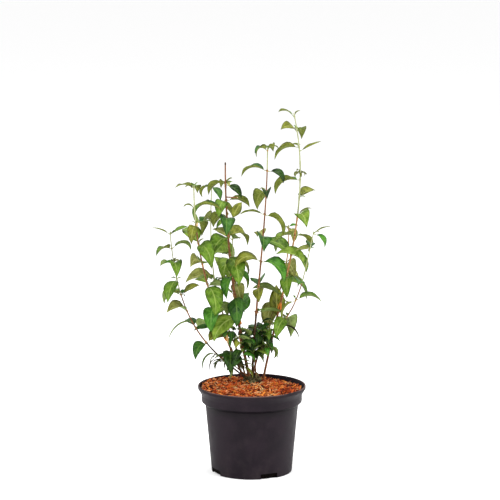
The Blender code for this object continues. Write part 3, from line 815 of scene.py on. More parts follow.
class Leaf:
    """One leaf: where its stalk leaves the stem, the way it faces, and how it is held."""

    def __init__(self, root, heading, lift, droop, length, roll, fold, width=1.0, stalk=1.0, green=None):
        self.root = root
        self.heading = heading
        self.lift = lift
        self.droop = droop
        self.length = length
        self.roll = roll
        self.fold = fold
        self.width = width
        self.stalk = stalk
        self.green = green
        self.mass = 0


def held_leaf(rng, root, heading, ranges, size=1.0, **rest):
    """A leaf whose lift, droop, length, roll, fold and maybe width are drawn from ranges, in this order."""
    lift, droop, length, *others = [rng.uniform(*span) for span in ranges]
    return Leaf(root, heading, lift, droop, length * size, *others, **rest)


def drawn_leaf(rng, root, heading, length):
    """A leaf by the seeded rule, or None where it has fallen."""
    turn = rng.uniform(-TURN_SPREAD, TURN_SPREAD)
    leaf = held_leaf(rng, root, heading + turn, HELD_BY_RULE, length)
    return None if rng.random() < FALLEN_SHARE else leaf


def level_way(heading):
    """The level direction at a heading in degrees."""
    bearing = math.radians(heading)
    return Vector((math.cos(bearing), math.sin(bearing), 0))


def pitched(heading, pitch):
    """The direction at a heading in degrees and a pitch above level in radians."""
    return level_way(heading) * math.cos(pitch) + Vector((0, 0, math.sin(pitch)))


def solid_marks(leaf, lift):
    """The tip and the four margin corners of the solid leaf, if it were held at this lift."""
    ways = [pitched(leaf.heading, math.radians(lift - leaf.droop * (low + high) / 2))
            for low, high in zip(SOLID_STATIONS, SOLID_STATIONS[1:])]
    fold = math.radians(leaf.fold)
    mid = leaf.root + ways[0] * PETIOLE_LENGTH
    marks = []
    for index, width in enumerate(SOLID_WIDTHS):
        mid = mid + ways[index] * leaf.length * (SOLID_STATIONS[index + 1] - SOLID_STATIONS[index])
        way = ways[index]
        side = Quaternion(way, math.radians(leaf.roll)) @ way.cross(Vector((0, 0, 1))).normalized()
        up = side.cross(way)
        half = width * LEAF_WIDTH * leaf.length / 2
        rise = up * half * math.sin(fold)
        marks += [mid + side * half * math.cos(fold) + rise, mid - side * half * math.cos(fold) + rise]
    marks.append(mid + ways[2] * leaf.length * (SOLID_STATIONS[3] - SOLID_STATIONS[2]))
    return marks


def tree_of_node(name):
    """A search tree of a solid's corners."""
    corners = nodes[name].data.vertices
    tree = KDTree(len(corners))
    for corner in corners:
        tree.insert(corner.co, corner.index)
    tree.balance()
    return tree


def kept_by(leaf, tree):
    """True if the solid holds this leaf. The leaf takes the lift that the solid gave it."""
    for change in RETRY_LIFTS:
        marks = solid_marks(leaf, leaf.lift + change)
        found = sum(tree.find(mark)[2] < MATCH_DISTANCE for mark in marks)
        if found >= MARKS_TO_MATCH:
            leaf.lift += change
            return True
    return False


def cane_leaves(cane):
    """Every leaf along a cane, mass by mass, with the height share of its node."""
    shares = node_shares(cane)
    path = paths[cane.name]
    leaves = []
    first = 0
    for mass, count in enumerate(cane.pairs):
        tree = tree_of_node("%s_leaves_%d" % (cane.name, mass + 1))
        rng = random.Random(cane.seeds[mass])
        for index in range(first, first + count):
            rise = index / (len(shares) - 1)
            length = cane.leaf * (1 - TIP_LEAF_LOSS * rise ** TIP_LEAF_POWER)
            for half_turn in (0, 180):
                heading = cane.heading + PAIR_TURN * index + half_turn
                leaf = drawn_leaf(rng, path.at(shares[index]), heading, length)
                if leaf and kept_by(leaf, tree):
                    leaf.mass = mass
                    leaves.append(leaf)
        first += count
    return leaves


leaves_of = {cane.name: cane_leaves(cane) for cane in CANES}
print({name: len(leaves) for name, leaves in leaves_of.items()}, "leaves on the canes")

# %% Low growth round the feet of the canes
THICKETS = {
    # foot, tip, radii, twigs, their reach, leaf length, seed
    "low_thicket": (
        (0.007, 0.037, 0.1637), (0.003, 0.038, 0.2377), (0.0016, 0.0009), 12, 0.028, 0.030, 21),
    "low_left_sprig": (
        (-0.007, 0.023, 0.1637), (-0.044, 0.006, 0.1977), (0.0012, 0.0008), 5, 0.018, 0.026, 22),
}
TWIG_TURN = 137.5
TWIG_LOWEST = 0.45
TWIG_RISE = (5, 55)
TWIG_RADIUS = 0.0008
TWIG_WANDER = 20
TWIG_LENGTHS = (0.7, 1.2)
TWIG_PAIRS = ((0.5, (90, 270)), (0.98, (-30, 30)))


def thicket_growth(name):
    """The twigs of a low clump, as pairs of ends, and its leaves."""
    foot, tip, _, count, reach, leaf_length, seed = THICKETS[name]
    foot, tip = Vector(foot), Vector(tip)
    tree = tree_of_node(name)
    rng = random.Random(seed)
    twigs, leaves = [], []
    for index in range(count):
        share = TWIG_LOWEST + (1 - TWIG_LOWEST) * (index + 0.5) / count
        start = foot.lerp(tip, share)
        heading = TWIG_TURN * index + rng.uniform(-TWIG_WANDER, TWIG_WANDER)
        way = pitched(heading, math.radians(rng.uniform(*TWIG_RISE)))
        end = start + way * reach * rng.uniform(*TWIG_LENGTHS)
        if tree.find(end)[2] < 2 * TWIG_RADIUS:
            twigs.append((start, end))
        for place, turns in TWIG_PAIRS:
            for turn in turns:
                leaf = drawn_leaf(rng, start.lerp(end, place), heading + turn, leaf_length)
                if leaf and kept_by(leaf, tree):
                    leaves.append(leaf)
    return twigs, leaves


twigs_of = {}
for name in THICKETS:
    twigs_of[name], leaves_of[name] = thicket_growth(name)
    print(name, len(twigs_of[name]), "twigs,", len(leaves_of[name]), "leaves")

# %% [markdown]
# ## The canes
# A cane is a curve with thickness, so it is drawn as a Bezier curve whose two ends carry the handles of the
# growth rule, and it is subdivided so that its radius can change along it. Bevelled and made a mesh, it is a
# smooth tapering tube. Its colour changes at the nodes as on the real plant: dark brown old wood at the foot,
# then red-brown, then pale green at the tip, so each stretch between nodes takes one of five bark finishes.

# %% Cane tubes
CANE_CUTS = 63
CANE_ROUNDNESS = 4
NODE_SWELLING = 0.38
NODE_HALF_LENGTH = 0.0026


def near_node(share, shares, length):
    """How close a place on a cane is to a node, from 0 far off to 1 on it."""
    gap = min(abs(share - place) for place in shares) * length
    return math.exp(-(gap / NODE_HALF_LENGTH) ** 2)


def bevelled_curve(name, handles, radius_at, cuts, roundness=CANE_ROUNDNESS):
    """A tube along the Bezier curve of four handles, with its radius read along it, as a mesh."""
    start_clean()
    bpy.ops.curve.primitive_bezier_curve_add(location=(0, 0, 0))
    curve = bpy.context.object
    spline = curve.data.splines[0]
    ends = ((spline.bezier_points[0], handles[0], handles[0] * 2 - handles[1], handles[1]),
            (spline.bezier_points[1], handles[3], handles[2], handles[3] * 2 - handles[2]))
    for point, place, left, right in ends:
        point.handle_left_type = point.handle_right_type = "FREE"
        point.co, point.handle_left, point.handle_right = place, left, right
    bpy.ops.object.mode_set(mode="EDIT")
    bpy.ops.curve.select_all(action="SELECT")
    bpy.ops.curve.subdivide(number_cuts=cuts)
    bpy.ops.object.mode_set(mode="OBJECT")
    points = curve.data.splines[0].bezier_points
    for index, point in enumerate(points):
        point.radius = radius_at(point.co, index / (len(points) - 1))
    curve.data.dimensions = "3D"
    curve.data.resolution_u = 1
    curve.data.bevel_depth = 1.0
    curve.data.bevel_resolution = roundness
    curve.data.use_fill_caps = True
    bpy.ops.object.convert(target="MESH")
    tube = bpy.context.object
    tube.name = name
    return tube


def thin_stem(name, handles, radius, ends, cuts, roundness=2):
    """A tube whose radius runs from one share of a radius to another."""
    first, last = ends
    return bevelled_curve(name, handles, lambda place, share: radius * (first + (last - first) * share), cuts,
                          roundness)


def share_near(path, place):
    """The share of a path's length that lies nearest to a place."""
    nearest = min(range(len(path.points)),
                  key=lambda step: (path.points[step] - place).length_squared)
    return path.lengths[nearest] / path.length


FOOT_TONE_HEIGHT = 0.225
BRIGHT_FOOT = {"tall_right": -0.3, "centre": 0.17}
LOW_TONE_SHARE = 0.42
RED_TONE_SHARE = 0.86
TONE_SPREAD = 0.018
NODE_SHOWS = 0.3
PALE_FROM = {"far_left": 0.33, "left": 0.46, "back_left": 0.35, "centre": 9.0, "centre_back": 0.36,
             "right_centre": 0.53, "tall_right": 0.43, "inner_right": 0.40, "far_right": 0.35}
NEVER_ORANGE = ("centre", "right_centre")


def cane_tone(cane, height, at_node):
    """The number of the bark finish at a height on a cane. Nodes are a step paler."""
    if height > PALE_FROM[cane.name]:
        return PALE_TONE
    green_from = min(PALE_FROM[cane.name], paths[cane.name].points[-1].z)
    brown_to = BRIGHT_FOOT.get(cane.name, FOOT_TONE_HEIGHT)
    risen = (height - brown_to) / (green_from - brown_to)
    tone = sum(risen > border for border in (0, LOW_TONE_SHARE, RED_TONE_SHARE))
    if at_node and tone > 0:
        tone = ORANGE_TONE
    if cane.name in NEVER_ORANGE and risen > LOW_TONE_SHARE:
        tone = min(tone, RED_TONE)
    return tone


def cane_piece(cane):
    """A whole cane as one bark-coloured tube."""
    path = paths[cane.name]
    shares = node_shares(cane)
    rng = random.Random(len(cane.name) * 31 + sum(cane.seeds))

    def radius_at(place, _):
        share = share_near(path, place)
        return cane_radius(cane, share) * (1 + NODE_SWELLING * near_node(share, shares, path.length))

    tube = bevelled_curve(cane.name + "_bark", cane.handles, radius_at, CANE_CUTS)
    give(tube, *CANE_FINISHES)
    borders = [0.0] + shares + [1.0]
    shifts = [rng.uniform(-TONE_SPREAD, TONE_SPREAD) for _ in borders]
    for face in tube.data.polygons:
        share = share_near(path, face.center)
        stretch = sum(border <= share for border in shares)
        middle = path.at((borders[stretch] + borders[stretch + 1]) / 2)
        at_node = near_node(share, shares, path.length) > NODE_SHOWS
        face.material_index = cane_tone(cane, middle.z + shifts[stretch], at_node)
    work_on(tube)
    bpy.ops.object.shade_smooth()
    return tube


cane_pieces = {cane.name: cane_piece(cane) for cane in CANES}
print(len(cane_pieces), "canes drawn")

# %% [markdown]
# ## Nodes and buds
# Where a pair of leaves joins the cane there is a small swelling, with a bud in the angle of each leaf. One
# node is modelled by hand: a ball squeezed to a collar, with two faces drawn out to pointed buds. Every node
# is a copy of it, turned to its own pair of leaves.

# %% One node by hand
BUD_LENGTH = 1.7
BUD_LEAN = 0.55
BUD_RISE = 0.6
BUD_FOOT_OUT = 0.55
BUD_FOOT_HEIGHTS = (0.1, 0.9)
COLLAR_SHAPE = (1.12, 1.12, 1.5)
BUD_STEPS = ((0.45, 0.75), (0.6, 0.35))
NODE_SIZE = 1.25
PALE_NODE_TONES = (PALE_TONE, PALE_TONE, ORANGE_TONE)


def model_bud_node():
    """A swelling of radius 1 with a bud drawn out on each side, +X and -X."""
    start_clean()
    bpy.ops.mesh.primitive_uv_sphere_add(segments=8, ring_count=6, radius=1, location=(0, 0, 0))
    collar = bpy.context.object
    low, high = BUD_FOOT_HEIGHTS
    edit_all()
    bpy.ops.transform.resize(value=COLLAR_SHAPE, center_override=(0, 0, 0))
    for side in (1, -1):
        bpy.ops.mesh.select_all(action="DESELECT")
        bpy.ops.object.mode_set(mode="OBJECT")
        for face in collar.data.polygons:
            face.select = face.center.x * side > BUD_FOOT_OUT and low < face.center.z < high
        bpy.ops.object.mode_set(mode="EDIT")
        bpy.ops.mesh.select_mode(type="FACE")
        for lift, share in BUD_STEPS:
            growth = (side * lift * BUD_LEAN, 0, lift * BUD_LENGTH * BUD_RISE)
            bpy.ops.mesh.extrude_region_move(TRANSFORM_OT_translate={"value": growth})
            bpy.ops.transform.resize(value=(share, share, 1))
    close_edit()
    return collar


NODE_PART = taken_part(model_bud_node())
print("one node has", len(NODE_PART[1]), "faces")


def placed_part(part, matrix, origin, finish):
    """A copy of a part, turned and sized by a 3 by 3 matrix and moved to its origin, in one finish."""
    corners, faces, finishes, marks = part
    placed = corners @ np.array(matrix).T + np.array(origin)
    return placed, faces, [finish] * len(finishes), marks


def frame_along(way, outward):
    """A turn whose up is the stem's way and whose +X points as far outward as it can."""
    side = way.cross(outward).normalized()
    front = side.cross(way).normalized()
    return np.array((front, side, way)).T


def cane_nodes(cane):
    """A node with its two buds for each pair of leaves on a cane."""
    path = paths[cane.name]
    made = []
    rng = random.Random(sum(cane.seeds))
    for index, share in enumerate(node_shares(cane)):
        place = path.at(share)
        tone = rng.choice(PALE_NODE_TONES) if place.z > PALE_FROM[cane.name] else RED_TONE
        turn = frame_along(path.way(share), level_way(cane.heading + PAIR_TURN * index))
        made.append(placed_part(NODE_PART, turn * cane_radius(cane, share) * NODE_SIZE, place, tone))
    return made


# %% [markdown]
# ## The leaf
# A mock orange leaf is egg-shaped with a long drawn-out tip, folded along its midrib like a gutter, and it
# arches over from a short stalk. One flat blank is modelled by hand: a grid whose cross rows are pulled in
# to the outline and whose ends are merged to a point. A second layer, turned over and let down, is its
# underside, with a finish of its own. The blank is then bent once for each leaf by the growth rule.

# %% One leaf blank by hand
BLANK_ROWS = 9
BLANK_COLUMNS = 4
BLANK_THICKNESS = 0.010
RIB_DEPTH = 0.010
NEAR_MARGIN = 0.004
CLOSE_TOGETHER = 0.002
SAME_ROW = 0.01
ON_MIDRIB = 0.001
RIB_SPAN = (0.02, 0.98)
OUTLINE = ((0.0, 0.0), (0.10, 0.50), (0.22, 0.86), (0.36, 1.0), (0.50, 0.93), (0.64, 0.72), (0.78, 0.44),
           (0.90, 0.17), (1.0, 0.0))


def outline_width(share):
    """The blade's width at a share of its length, as a share of its greatest width."""
    for (low, first), (high, second) in zip(OUTLINE, OUTLINE[1:]):
        if share <= high:
            return first + (second - first) * (share - low) / (high - low)
    return 0.0


def model_leaf_blank():
    """A flat leaf of length 1 along +X and greatest width 1, with an upper and an under side."""
    start_clean()
    bpy.ops.mesh.primitive_grid_add(x_subdivisions=BLANK_ROWS, y_subdivisions=BLANK_COLUMNS, size=1,
                                    location=(0.5, 0, 0))
    blank = bpy.context.object
    settle(blank)
    rows = sorted({round(corner.co.x, 4) for corner in blank.data.vertices})
    bpy.ops.object.mode_set(mode="EDIT")
    for row in rows:
        pick_corners(blank, lambda place: abs(place.x - row) < SAME_ROW)
        width = outline_width(row)
        if width > 0:
            bpy.ops.transform.resize(value=(1, width, 1), center_override=(row, 0, 0))
        else:
            bpy.ops.mesh.merge(type="CENTER")
    bpy.ops.mesh.select_all(action="SELECT")
    bpy.ops.mesh.duplicate()
    bpy.ops.mesh.flip_normals()
    bpy.ops.transform.translate(value=(0, 0, -BLANK_THICKNESS))
    bpy.ops.object.mode_set(mode="OBJECT")
    for face in blank.data.polygons:
        face.material_index = int(face.center.z < -BLANK_THICKNESS / 2)
    bpy.ops.object.mode_set(mode="EDIT")
    margin = pick_corners(blank, lambda place: place.z < -BLANK_THICKNESS / 2
                          and abs(abs(place.y) - outline_width(place.x) / 2) < NEAR_MARGIN)
    bpy.ops.transform.translate(value=(0, 0, BLANK_THICKNESS))
    bpy.ops.mesh.select_all(action="SELECT")
    bpy.ops.mesh.remove_doubles(threshold=CLOSE_TOGETHER)
    first, last = RIB_SPAN
    pick_corners(blank, lambda place: abs(place.y) < ON_MIDRIB and first < place.x < last)
    bpy.ops.transform.translate(value=(0, 0, -RIB_DEPTH))
    bpy.ops.object.mode_set(mode="OBJECT")
    print("leaf blank:", len(blank.data.polygons), "faces,", margin, "corners on its margin")
    return blank


BLADE_PART = taken_part(model_leaf_blank())

# %% One stalk by hand
PETIOLE_RADIUS = 0.0006
STALK_FOOT = 1.35
STALK_END = 0.8


def model_stalk():
    """A leaf stalk of length 1 along +X, a little thicker at its foot."""
    start_clean()
    bpy.ops.mesh.primitive_cylinder_add(vertices=6, radius=1, depth=1, location=(0.5, 0, 0),
                                        rotation=(0, math.radians(90), 0))
    stalk = bpy.context.object
    settle(stalk)
    bpy.ops.object.mode_set(mode="EDIT")
    pick_corners(stalk, lambda place: place.x < 0.5)
    bpy.ops.transform.resize(value=(1, STALK_FOOT, STALK_FOOT), center_override=(0, 0, 0))
    pick_corners(stalk, lambda place: place.x > 0.5)
    bpy.ops.transform.resize(value=(1, STALK_END, STALK_END), center_override=(0, 0, 0))
    bpy.ops.object.mode_set(mode="OBJECT")
    return stalk


STALK_PART = taken_part(model_stalk())

# %% Bending the blank into a leaf
TIP_CURL = 0.35
STALK_OVERLAP = 1.08
MARGIN_WAVE = 0.030
WAVES = 2.1
WAVE_LAG = 2.0


def column(values):
    """A row of numbers as a column, so that it scales a direction row by row."""
    return values[:, None]


def bent_leaf(leaf, rng):
    """The blade's and the stalk's corners for one leaf, as held on the plant."""
    lift, droop = math.radians(leaf.lift), math.radians(leaf.droop)
    roll, fold = math.radians(leaf.roll), math.radians(leaf.fold)
    root = np.array(leaf.root)
    outward = np.array(level_way(leaf.heading))
    upward = np.array((0.0, 0.0, 1.0))
    level = np.cross(outward, upward)
    first_pitch = lift - droop * SOLID_STATIONS[1] / 2
    stalk_way = outward * math.cos(first_pitch) + upward * math.sin(first_pitch)
    stalk_run = stalk_way * PETIOLE_LENGTH * leaf.stalk

    along, across, height = BLADE_PART[0].T
    pitch = lift - droop * along
    reach = (math.sin(lift) - np.sin(pitch)) / droop
    drop = (np.cos(pitch) - math.cos(lift)) / droop
    ways = outward * column(np.cos(pitch)) + upward * column(np.sin(pitch))
    turn = roll * (1 + TIP_CURL * (along - 0.5))
    sides = level * column(np.cos(turn)) + np.cross(ways, level) * column(np.sin(turn))
    ups = np.cross(sides, ways)
    half = np.abs(across) * LEAF_WIDTH * leaf.width
    phase = rng.uniform(0, 2 * math.pi)
    wave = MARGIN_WAVE * half * np.sin(2 * math.pi * WAVES * along + phase + WAVE_LAG * np.sign(across))
    out = across * LEAF_WIDTH * leaf.width * math.cos(fold)
    rise = half * math.sin(fold) + height + wave * 2
    mids = root + stalk_run + leaf.length * (outward * column(reach) + upward * column(drop))
    blade = mids + leaf.length * (sides * column(out) + ups * column(rise))

    run, stalk_side, stalk_up = STALK_PART[0].T
    around = level * column(stalk_side) + np.cross(level, stalk_way) * column(stalk_up)
    stalk = root + stalk_run * column(run * STALK_OVERLAP) + PETIOLE_RADIUS * around
    return blade, stalk


# %% [markdown]
# ## Dealing out the greens
# Low leaves are old and mostly deep or dark green, and these dark greens also paint the shade low in the
# plant. Higher up all the greens are mixed, with the most olive at the top. Each leaf draws its finish from
# the greens of its height, by the seed of its mass.

# %% Finishes by height
GREENS_BY_HEIGHT = (
    # top of the range of heights, and the shares of the seven greens, deep green first
    # below 0.27 m mostly deep and dark greens: partly the old leaves' own colour, partly painted shade
    (0.27, (5, 5, 1, 2, 1, 0, 0)),
    (0.42, (1, 3, 3, 4, 2, 2, 1)),
    (0.52, (1, 2, 3, 3, 3, 1, 1)),
    (9.99, (2, 2, 2, 2, 3, 1, 1)),
)
TONE_SEEDS = {"far_left": (2551, 333, 27), "left": (515, 1833, 8665), "back_left": (706, 1825),
              "centre": (8449, 7854, 603), "centre_back": (444, 1313), "right_centre": (5510, 575, 1921),
              "tall_right": (4403, 8127, 12, 254), "inner_right": (18, 421), "far_right": (301, 123)}
OLIVE_UNDER_HEIGHT = 0.36
UNDER_HEIGHT_SPREAD = 0.1
FOLIAGE_FINISHES = LEAF_FINISHES + [WOOD["leaf_stalk"]]
STALK_FINISH = len(LEAF_FINISHES)


def dealt_finish(height, rng, withered_share=0.0):
    """The upper and the under finish of a leaf at a height, as places in the list of leaf finishes."""
    if rng.random() < withered_share:
        return FINISH_NUMBERS["withered"], FINISH_NUMBERS["withered"]
    shares = next(shares for top, shares in GREENS_BY_HEIGHT if height < top)
    greens = [green for green, share in enumerate(shares) for _ in range(share)]
    olive = height + rng.uniform(-UNDER_HEIGHT_SPREAD, UNDER_HEIGHT_SPREAD) > OLIVE_UNDER_HEIGHT
    return rng.choice(greens), FINISH_NUMBERS["underside_olive" if olive else "underside_grey"]


def blade_and_stalk(leaf, rng, tones, withered_share=0.0):
    """One leaf as two parts, its blade and its stalk. Its green is its own, or dealt out by the tones."""
    blade, stalk = bent_leaf(leaf, rng)
    top, under = dealt_finish(leaf.root.z, tones, withered_share)
    if leaf.green:
        top = FINISH_NUMBERS[leaf.green]
    finishes = [under if layer else top for layer in BLADE_PART[2]]
    return [(blade, BLADE_PART[1], finishes, BLADE_PART[3]),
            (stalk, STALK_PART[1], [STALK_FINISH] * len(STALK_PART[1]), STALK_PART[3])]


# %% [markdown]
# ## Finer growth
# In the angle of many leaves a tiny new shoot has started, with a pair of small leaves. The longest of the
# low leaves stand for fine twigs, so each gives way to a spray of small leaves along its midrib. The low
# clumps are filled in the same way. All of it stays within the reach of the solids' own leaves.

# %% Shoots, sprays and low leaves
# lift, droop, length, roll, fold and width are held within these ranges
HELD_IN_SHOOT = ((20, 65), (30, 90), (0.8, 1.1), (-30, 30), (15, 40))
HELD_IN_SPRAY = ((-15, 45), (50, 120), (0.34, 0.48), (-40, 40), (10, 40), (0.85, 1.1))
HELD_IN_THICKET = ((-20, 55), (40, 130), (0.014, 0.028), (-45, 45), (10, 50))
THICKET_WIDTHS = {"low_thicket": (0.8, 1.15), "low_left_sprig": (0.3, 0.5)}
THICKET_PLACES = {"low_thicket": (0.1, 0.32, 0.55, 0.78, 1.0), "low_left_sprig": (0.4, 1.0)}
SHOOT_SHARE = 0.34
SHOOT_LEAF = (0.008, 0.017)
SHOOT_REACH = (0.0008, 0.0024)
SHOOT_LEAN = 0.6
SHOOT_STALK = 0.3
SHOOT_TURN = (30, 90)
SPRAY_TURN = (25, 100)
THICKET_TURN = (40, 120)
SHORT_STALK = 0.5
SPRAY_BELOW = 0.27
SPRAY_LENGTH = 0.062
SPRAY_TWIG = (0, 0.33, 0.67, 0.95)
SPRAY_TWIG_ENDS = (1, 0.6)
SPRAY_PLACES = (0.12, 0.3, 0.48, 0.66, 0.84, 1.0)


def axil_leaves(leaf, rng):
    """The small leaves of a new shoot above a leaf's stalk, or none."""
    if rng.random() > SHOOT_SHARE:
        return []
    reach = rng.uniform(*SHOOT_REACH)
    root = leaf.root + level_way(leaf.heading) * reach * SHOOT_LEAN + Vector((0, 0, reach))
    size = rng.uniform(*SHOOT_LEAF)
    turns = (rng.uniform(*SHOOT_TURN), -rng.uniform(*SHOOT_TURN))
    return [held_leaf(rng, root, leaf.heading + turn, HELD_IN_SHOOT, size, stalk=SHOOT_STALK)
            for turn in turns]


def is_spray(leaf):
    """True for the longest low leaves, which stand for a twig with small leaves."""
    return leaf.root.z < SPRAY_BELOW and leaf.length > SPRAY_LENGTH


def midrib(leaf, share):
    """A point on a leaf's arching midrib."""
    lift, droop = math.radians(leaf.lift), math.radians(leaf.droop)
    pitch = lift - droop * share
    reach = (math.sin(lift) - math.sin(pitch)) / droop
    drop = (math.cos(pitch) - math.cos(lift)) / droop
    return leaf.root + (level_way(leaf.heading) * reach + Vector((0, 0, drop))) * leaf.length


def spray_parts(leaf, rng):
    """A fine twig along the leaf's midrib, with pairs of small leaves within the leaf's reach."""
    handles = [midrib(leaf, share) for share in SPRAY_TWIG]
    twig = thin_stem("spray", handles, TWIG_RADIUS, SPRAY_TWIG_ENDS, cuts=3, roundness=1)
    corners, faces, _, places = taken_part(twig)
    parts = [(corners, faces, [STALK_FINISH] * len(faces), places)]
    for share in SPRAY_PLACES:
        for side in (1, -1):
            heading = leaf.heading + side * rng.uniform(*SPRAY_TURN)
            small = held_leaf(rng, midrib(leaf, share), heading, HELD_IN_SPRAY, leaf.length,
                              stalk=SHORT_STALK)
            parts += blade_and_stalk(small, rng, rng)
    return parts


def thicket_leaves(name, rng):
    """The many small leaves that fill a low clump, in pairs along its twigs."""
    ranges = HELD_IN_THICKET + (THICKET_WIDTHS[name],)
    small = []
    for start, end in twigs_of[name]:
        way = end - start
        heading = math.degrees(math.atan2(way.y, way.x))
        for place in THICKET_PLACES[name]:
            root = start.lerp(end, place)
            for turn in (rng.uniform(*THICKET_TURN), -rng.uniform(*THICKET_TURN)):
                small.append(held_leaf(rng, root, heading + turn, ranges, stalk=SHORT_STALK))
    return small


# %% [markdown]
# ## Single leaves
# A few leaves that catch the eye do not follow the rule: the narrow curled ones that hang low on the left,
# the level ones at the tips of the side canes, and the small tuft of new leaves near the top of the tallest
# cane. Each one is placed by its share of the cane's length, so it sits on its cane from every side.

# %% Single leaves
SINGLE_LEAVES = (
    # cane, share, heading, lift, droop, length, roll, fold, width, stalk, green
    ("tall_right", 0.990, 18, 71, 75, 0.013, 10, 30, 0.80, 0.4, "olive_green"),
    ("tall_right", 0.860, 0, 30, 10, 0.038, 12, 20, 0.60, 0.8, "olive_green"),
    ("tall_right", 0.624, -15, 55, 60, 0.028, 10, 25, 0.60, 0.7, "olive_green"),
    ("right_centre", 0.998, 215, 36, 150, 0.034, 20, 20, 0.95, 0.5, "deep_green"),
    ("right_centre", 0.998, -40, 37, 80, 0.026, -20, 25, 0.80, 0.4, "deep_green"),
    ("far_left", 0.985, 190, 34, 26, 0.031, 10, 30, 0.50, 0.8, "olive_green"),
    ("far_right", 0.985, -8, 41, 38, 0.030, -10, 30, 0.50, 0.8, "middle_green"),
    ("far_left", 0.457, 215, 9, 79, 0.057, 30, 40, 0.20, 0.7, "olive_green"),
    ("far_left", 0.217, 225, 19, 122, 0.047, 20, 40, 0.28, 0.8, "dark_green"),
    ("far_left", 0.214, 220, -17, 77, 0.024, 10, 40, 0.26, 0.5, "dull_green"),
    ("far_left", 0.166, 240, 14, 115, 0.036, 10, 40, 0.30, 0.6, "withered"),
    ("left", 0.880, 165, 60, 120, 0.021, 20, 20, 1.00, 0.6, "dark_green"),
    ("centre", 0.903, 150, 19, 115, 0.044, 30, 20, 0.80, 0.8, "dull_green"),
    ("far_right", 0.060, -20, 10, 95, 0.044, 20, 40, 0.26, 0.8, "withered"),
    ("right_centre", 0.115, -35, 12, 55, 0.032, 10, 15, 0.95, 0.6, "light_green"),
    ("right_centre", 0.125, 205, 10, 60, 0.026, -15, 15, 0.95, 0.6, "light_green"),
    ("inner_right", 0.184, 190, 5, 25, 0.034, 45, 12, 0.95, 0.5, "light_green"),
    ("tall_right", 0.200, 225, -10, 45, 0.024, 0, 15, 1.20, 0.5, "light_green"),
    ("left", 0.120, 185, 5, 60, 0.026, 45, 15, 1.10, 0.4, "withered"),
)
TUFT_CANE = "tall_right"
TUFT_SHARE = 0.781
TUFT_LEAVES = 9
TUFT_SEED = 4
HELD_IN_TUFT = ((0, 70), (70, 150), (0.010, 0.014), (-30, 30), (20, 45))
TUFT_STALK = 0.4


def single_leaves():
    """The leaves outside the rule, by cane, with the tuft."""
    found = {cane.name: [] for cane in CANES}
    for name, share, *held in SINGLE_LEAVES:
        found[name].append(Leaf(paths[name].at(share), *held))
    rng = random.Random(TUFT_SEED)
    root = paths[TUFT_CANE].at(TUFT_SHARE)
    for index in range(TUFT_LEAVES):
        found[TUFT_CANE].append(held_leaf(rng, root, 360 * index / TUFT_LEAVES, HELD_IN_TUFT,
                                          stalk=TUFT_STALK, green="olive_green"))
    return found


SINGLES = single_leaves()
print(sum(len(leaves) for leaves in SINGLES.values()), "single leaves")

# %% Foliage and nodes of the canes
WITHERED = {"low_left_sprig": 0.6, "low_thicket": 0.08}
GROWTH_SEED = 11
foliage_rng = random.Random(GROWTH_SEED)
for cane in CANES:
    parts = []
    tones = [random.Random(seed) for seed in TONE_SEEDS[cane.name]]
    for leaf in leaves_of[cane.name]:
        # a leaf that gives way to a spray is drawn all the same, so that the seeds keep their places
        drawn = blade_and_stalk(leaf, foliage_rng, tones[leaf.mass])
        parts += spray_parts(leaf, foliage_rng) if is_spray(leaf) else drawn
        for grown in axil_leaves(leaf, foliage_rng):
            parts += blade_and_stalk(grown, foliage_rng, foliage_rng)
    for leaf in SINGLES[cane.name]:
        parts += blade_and_stalk(leaf, foliage_rng, foliage_rng)
    masses = ["%s_leaves_%d" % (cane.name, mass + 1) for mass in range(len(cane.pairs))]
    foliage = joined_mesh(cane.name + "_foliage", parts, FOLIAGE_FINISHES)
    dress(foliage, cane.name + "_foliage", "foliage", *masses)
    buds = joined_mesh(cane.name + "_nodes", cane_nodes(cane), CANE_FINISHES)
    dress(buds, cane.name + "_nodes", "cane_wood")
    dress(cane_pieces[cane.name], cane.name + "_bark", "cane_wood", cane.name + "_cane")
print(len(BLADE_PART[1]), "faces on each blade")

# %% Stems, twigs and foliage of the low growth
TWIG_TIP_SHARE = 0.7
TWIG_SAG = -0.001
SPRIG_WIDTH = 0.5
HANDLE_SHARES = (0.33, 0.67)


def straight_handles(start, end, sag=0.0):
    """Four handles of a nearly straight line that sags a little in its middle."""
    drop = Vector((0, 0, sag))
    return [start, *(start.lerp(end, share) - drop for share in HANDLE_SHARES), end]


for leaf in leaves_of["low_left_sprig"]:
    leaf.width = SPRIG_WIDTH
for name, (foot, tip, radii, *_) in THICKETS.items():
    made = [thin_stem(name + "_stem", straight_handles(Vector(foot), Vector(tip)), 1.0, radii, cuts=6)]
    for start, end in twigs_of[name]:
        handles = straight_handles(start, end, TWIG_SAG)
        made.append(thin_stem("twig", handles, TWIG_RADIUS, (1, TWIG_TIP_SHARE), cuts=3, roundness=1))
    stem = joined(made)
    give(stem, WOOD["cane_brown"])
    bpy.ops.object.shade_smooth()
    dress(stem, name + "_twigs", "cane_wood")
    parts = []
    for leaf in leaves_of[name] + thicket_leaves(name, foliage_rng):
        parts += blade_and_stalk(leaf, foliage_rng, foliage_rng, WITHERED[name])
    dress(joined_mesh(name + "_foliage", parts, FOLIAGE_FINISHES), name + "_foliage", "foliage", name)

# %% [markdown]
# ## The root crown
# The canes rise from a low knobbly stool of old wood. By hand it is a squashed ball with smaller knobs
# pressed into it, and a flared stub under each cane. Remeshing melts them into one skin, and a cloud texture
# roughens it, so that no seam shows between knob and stub.

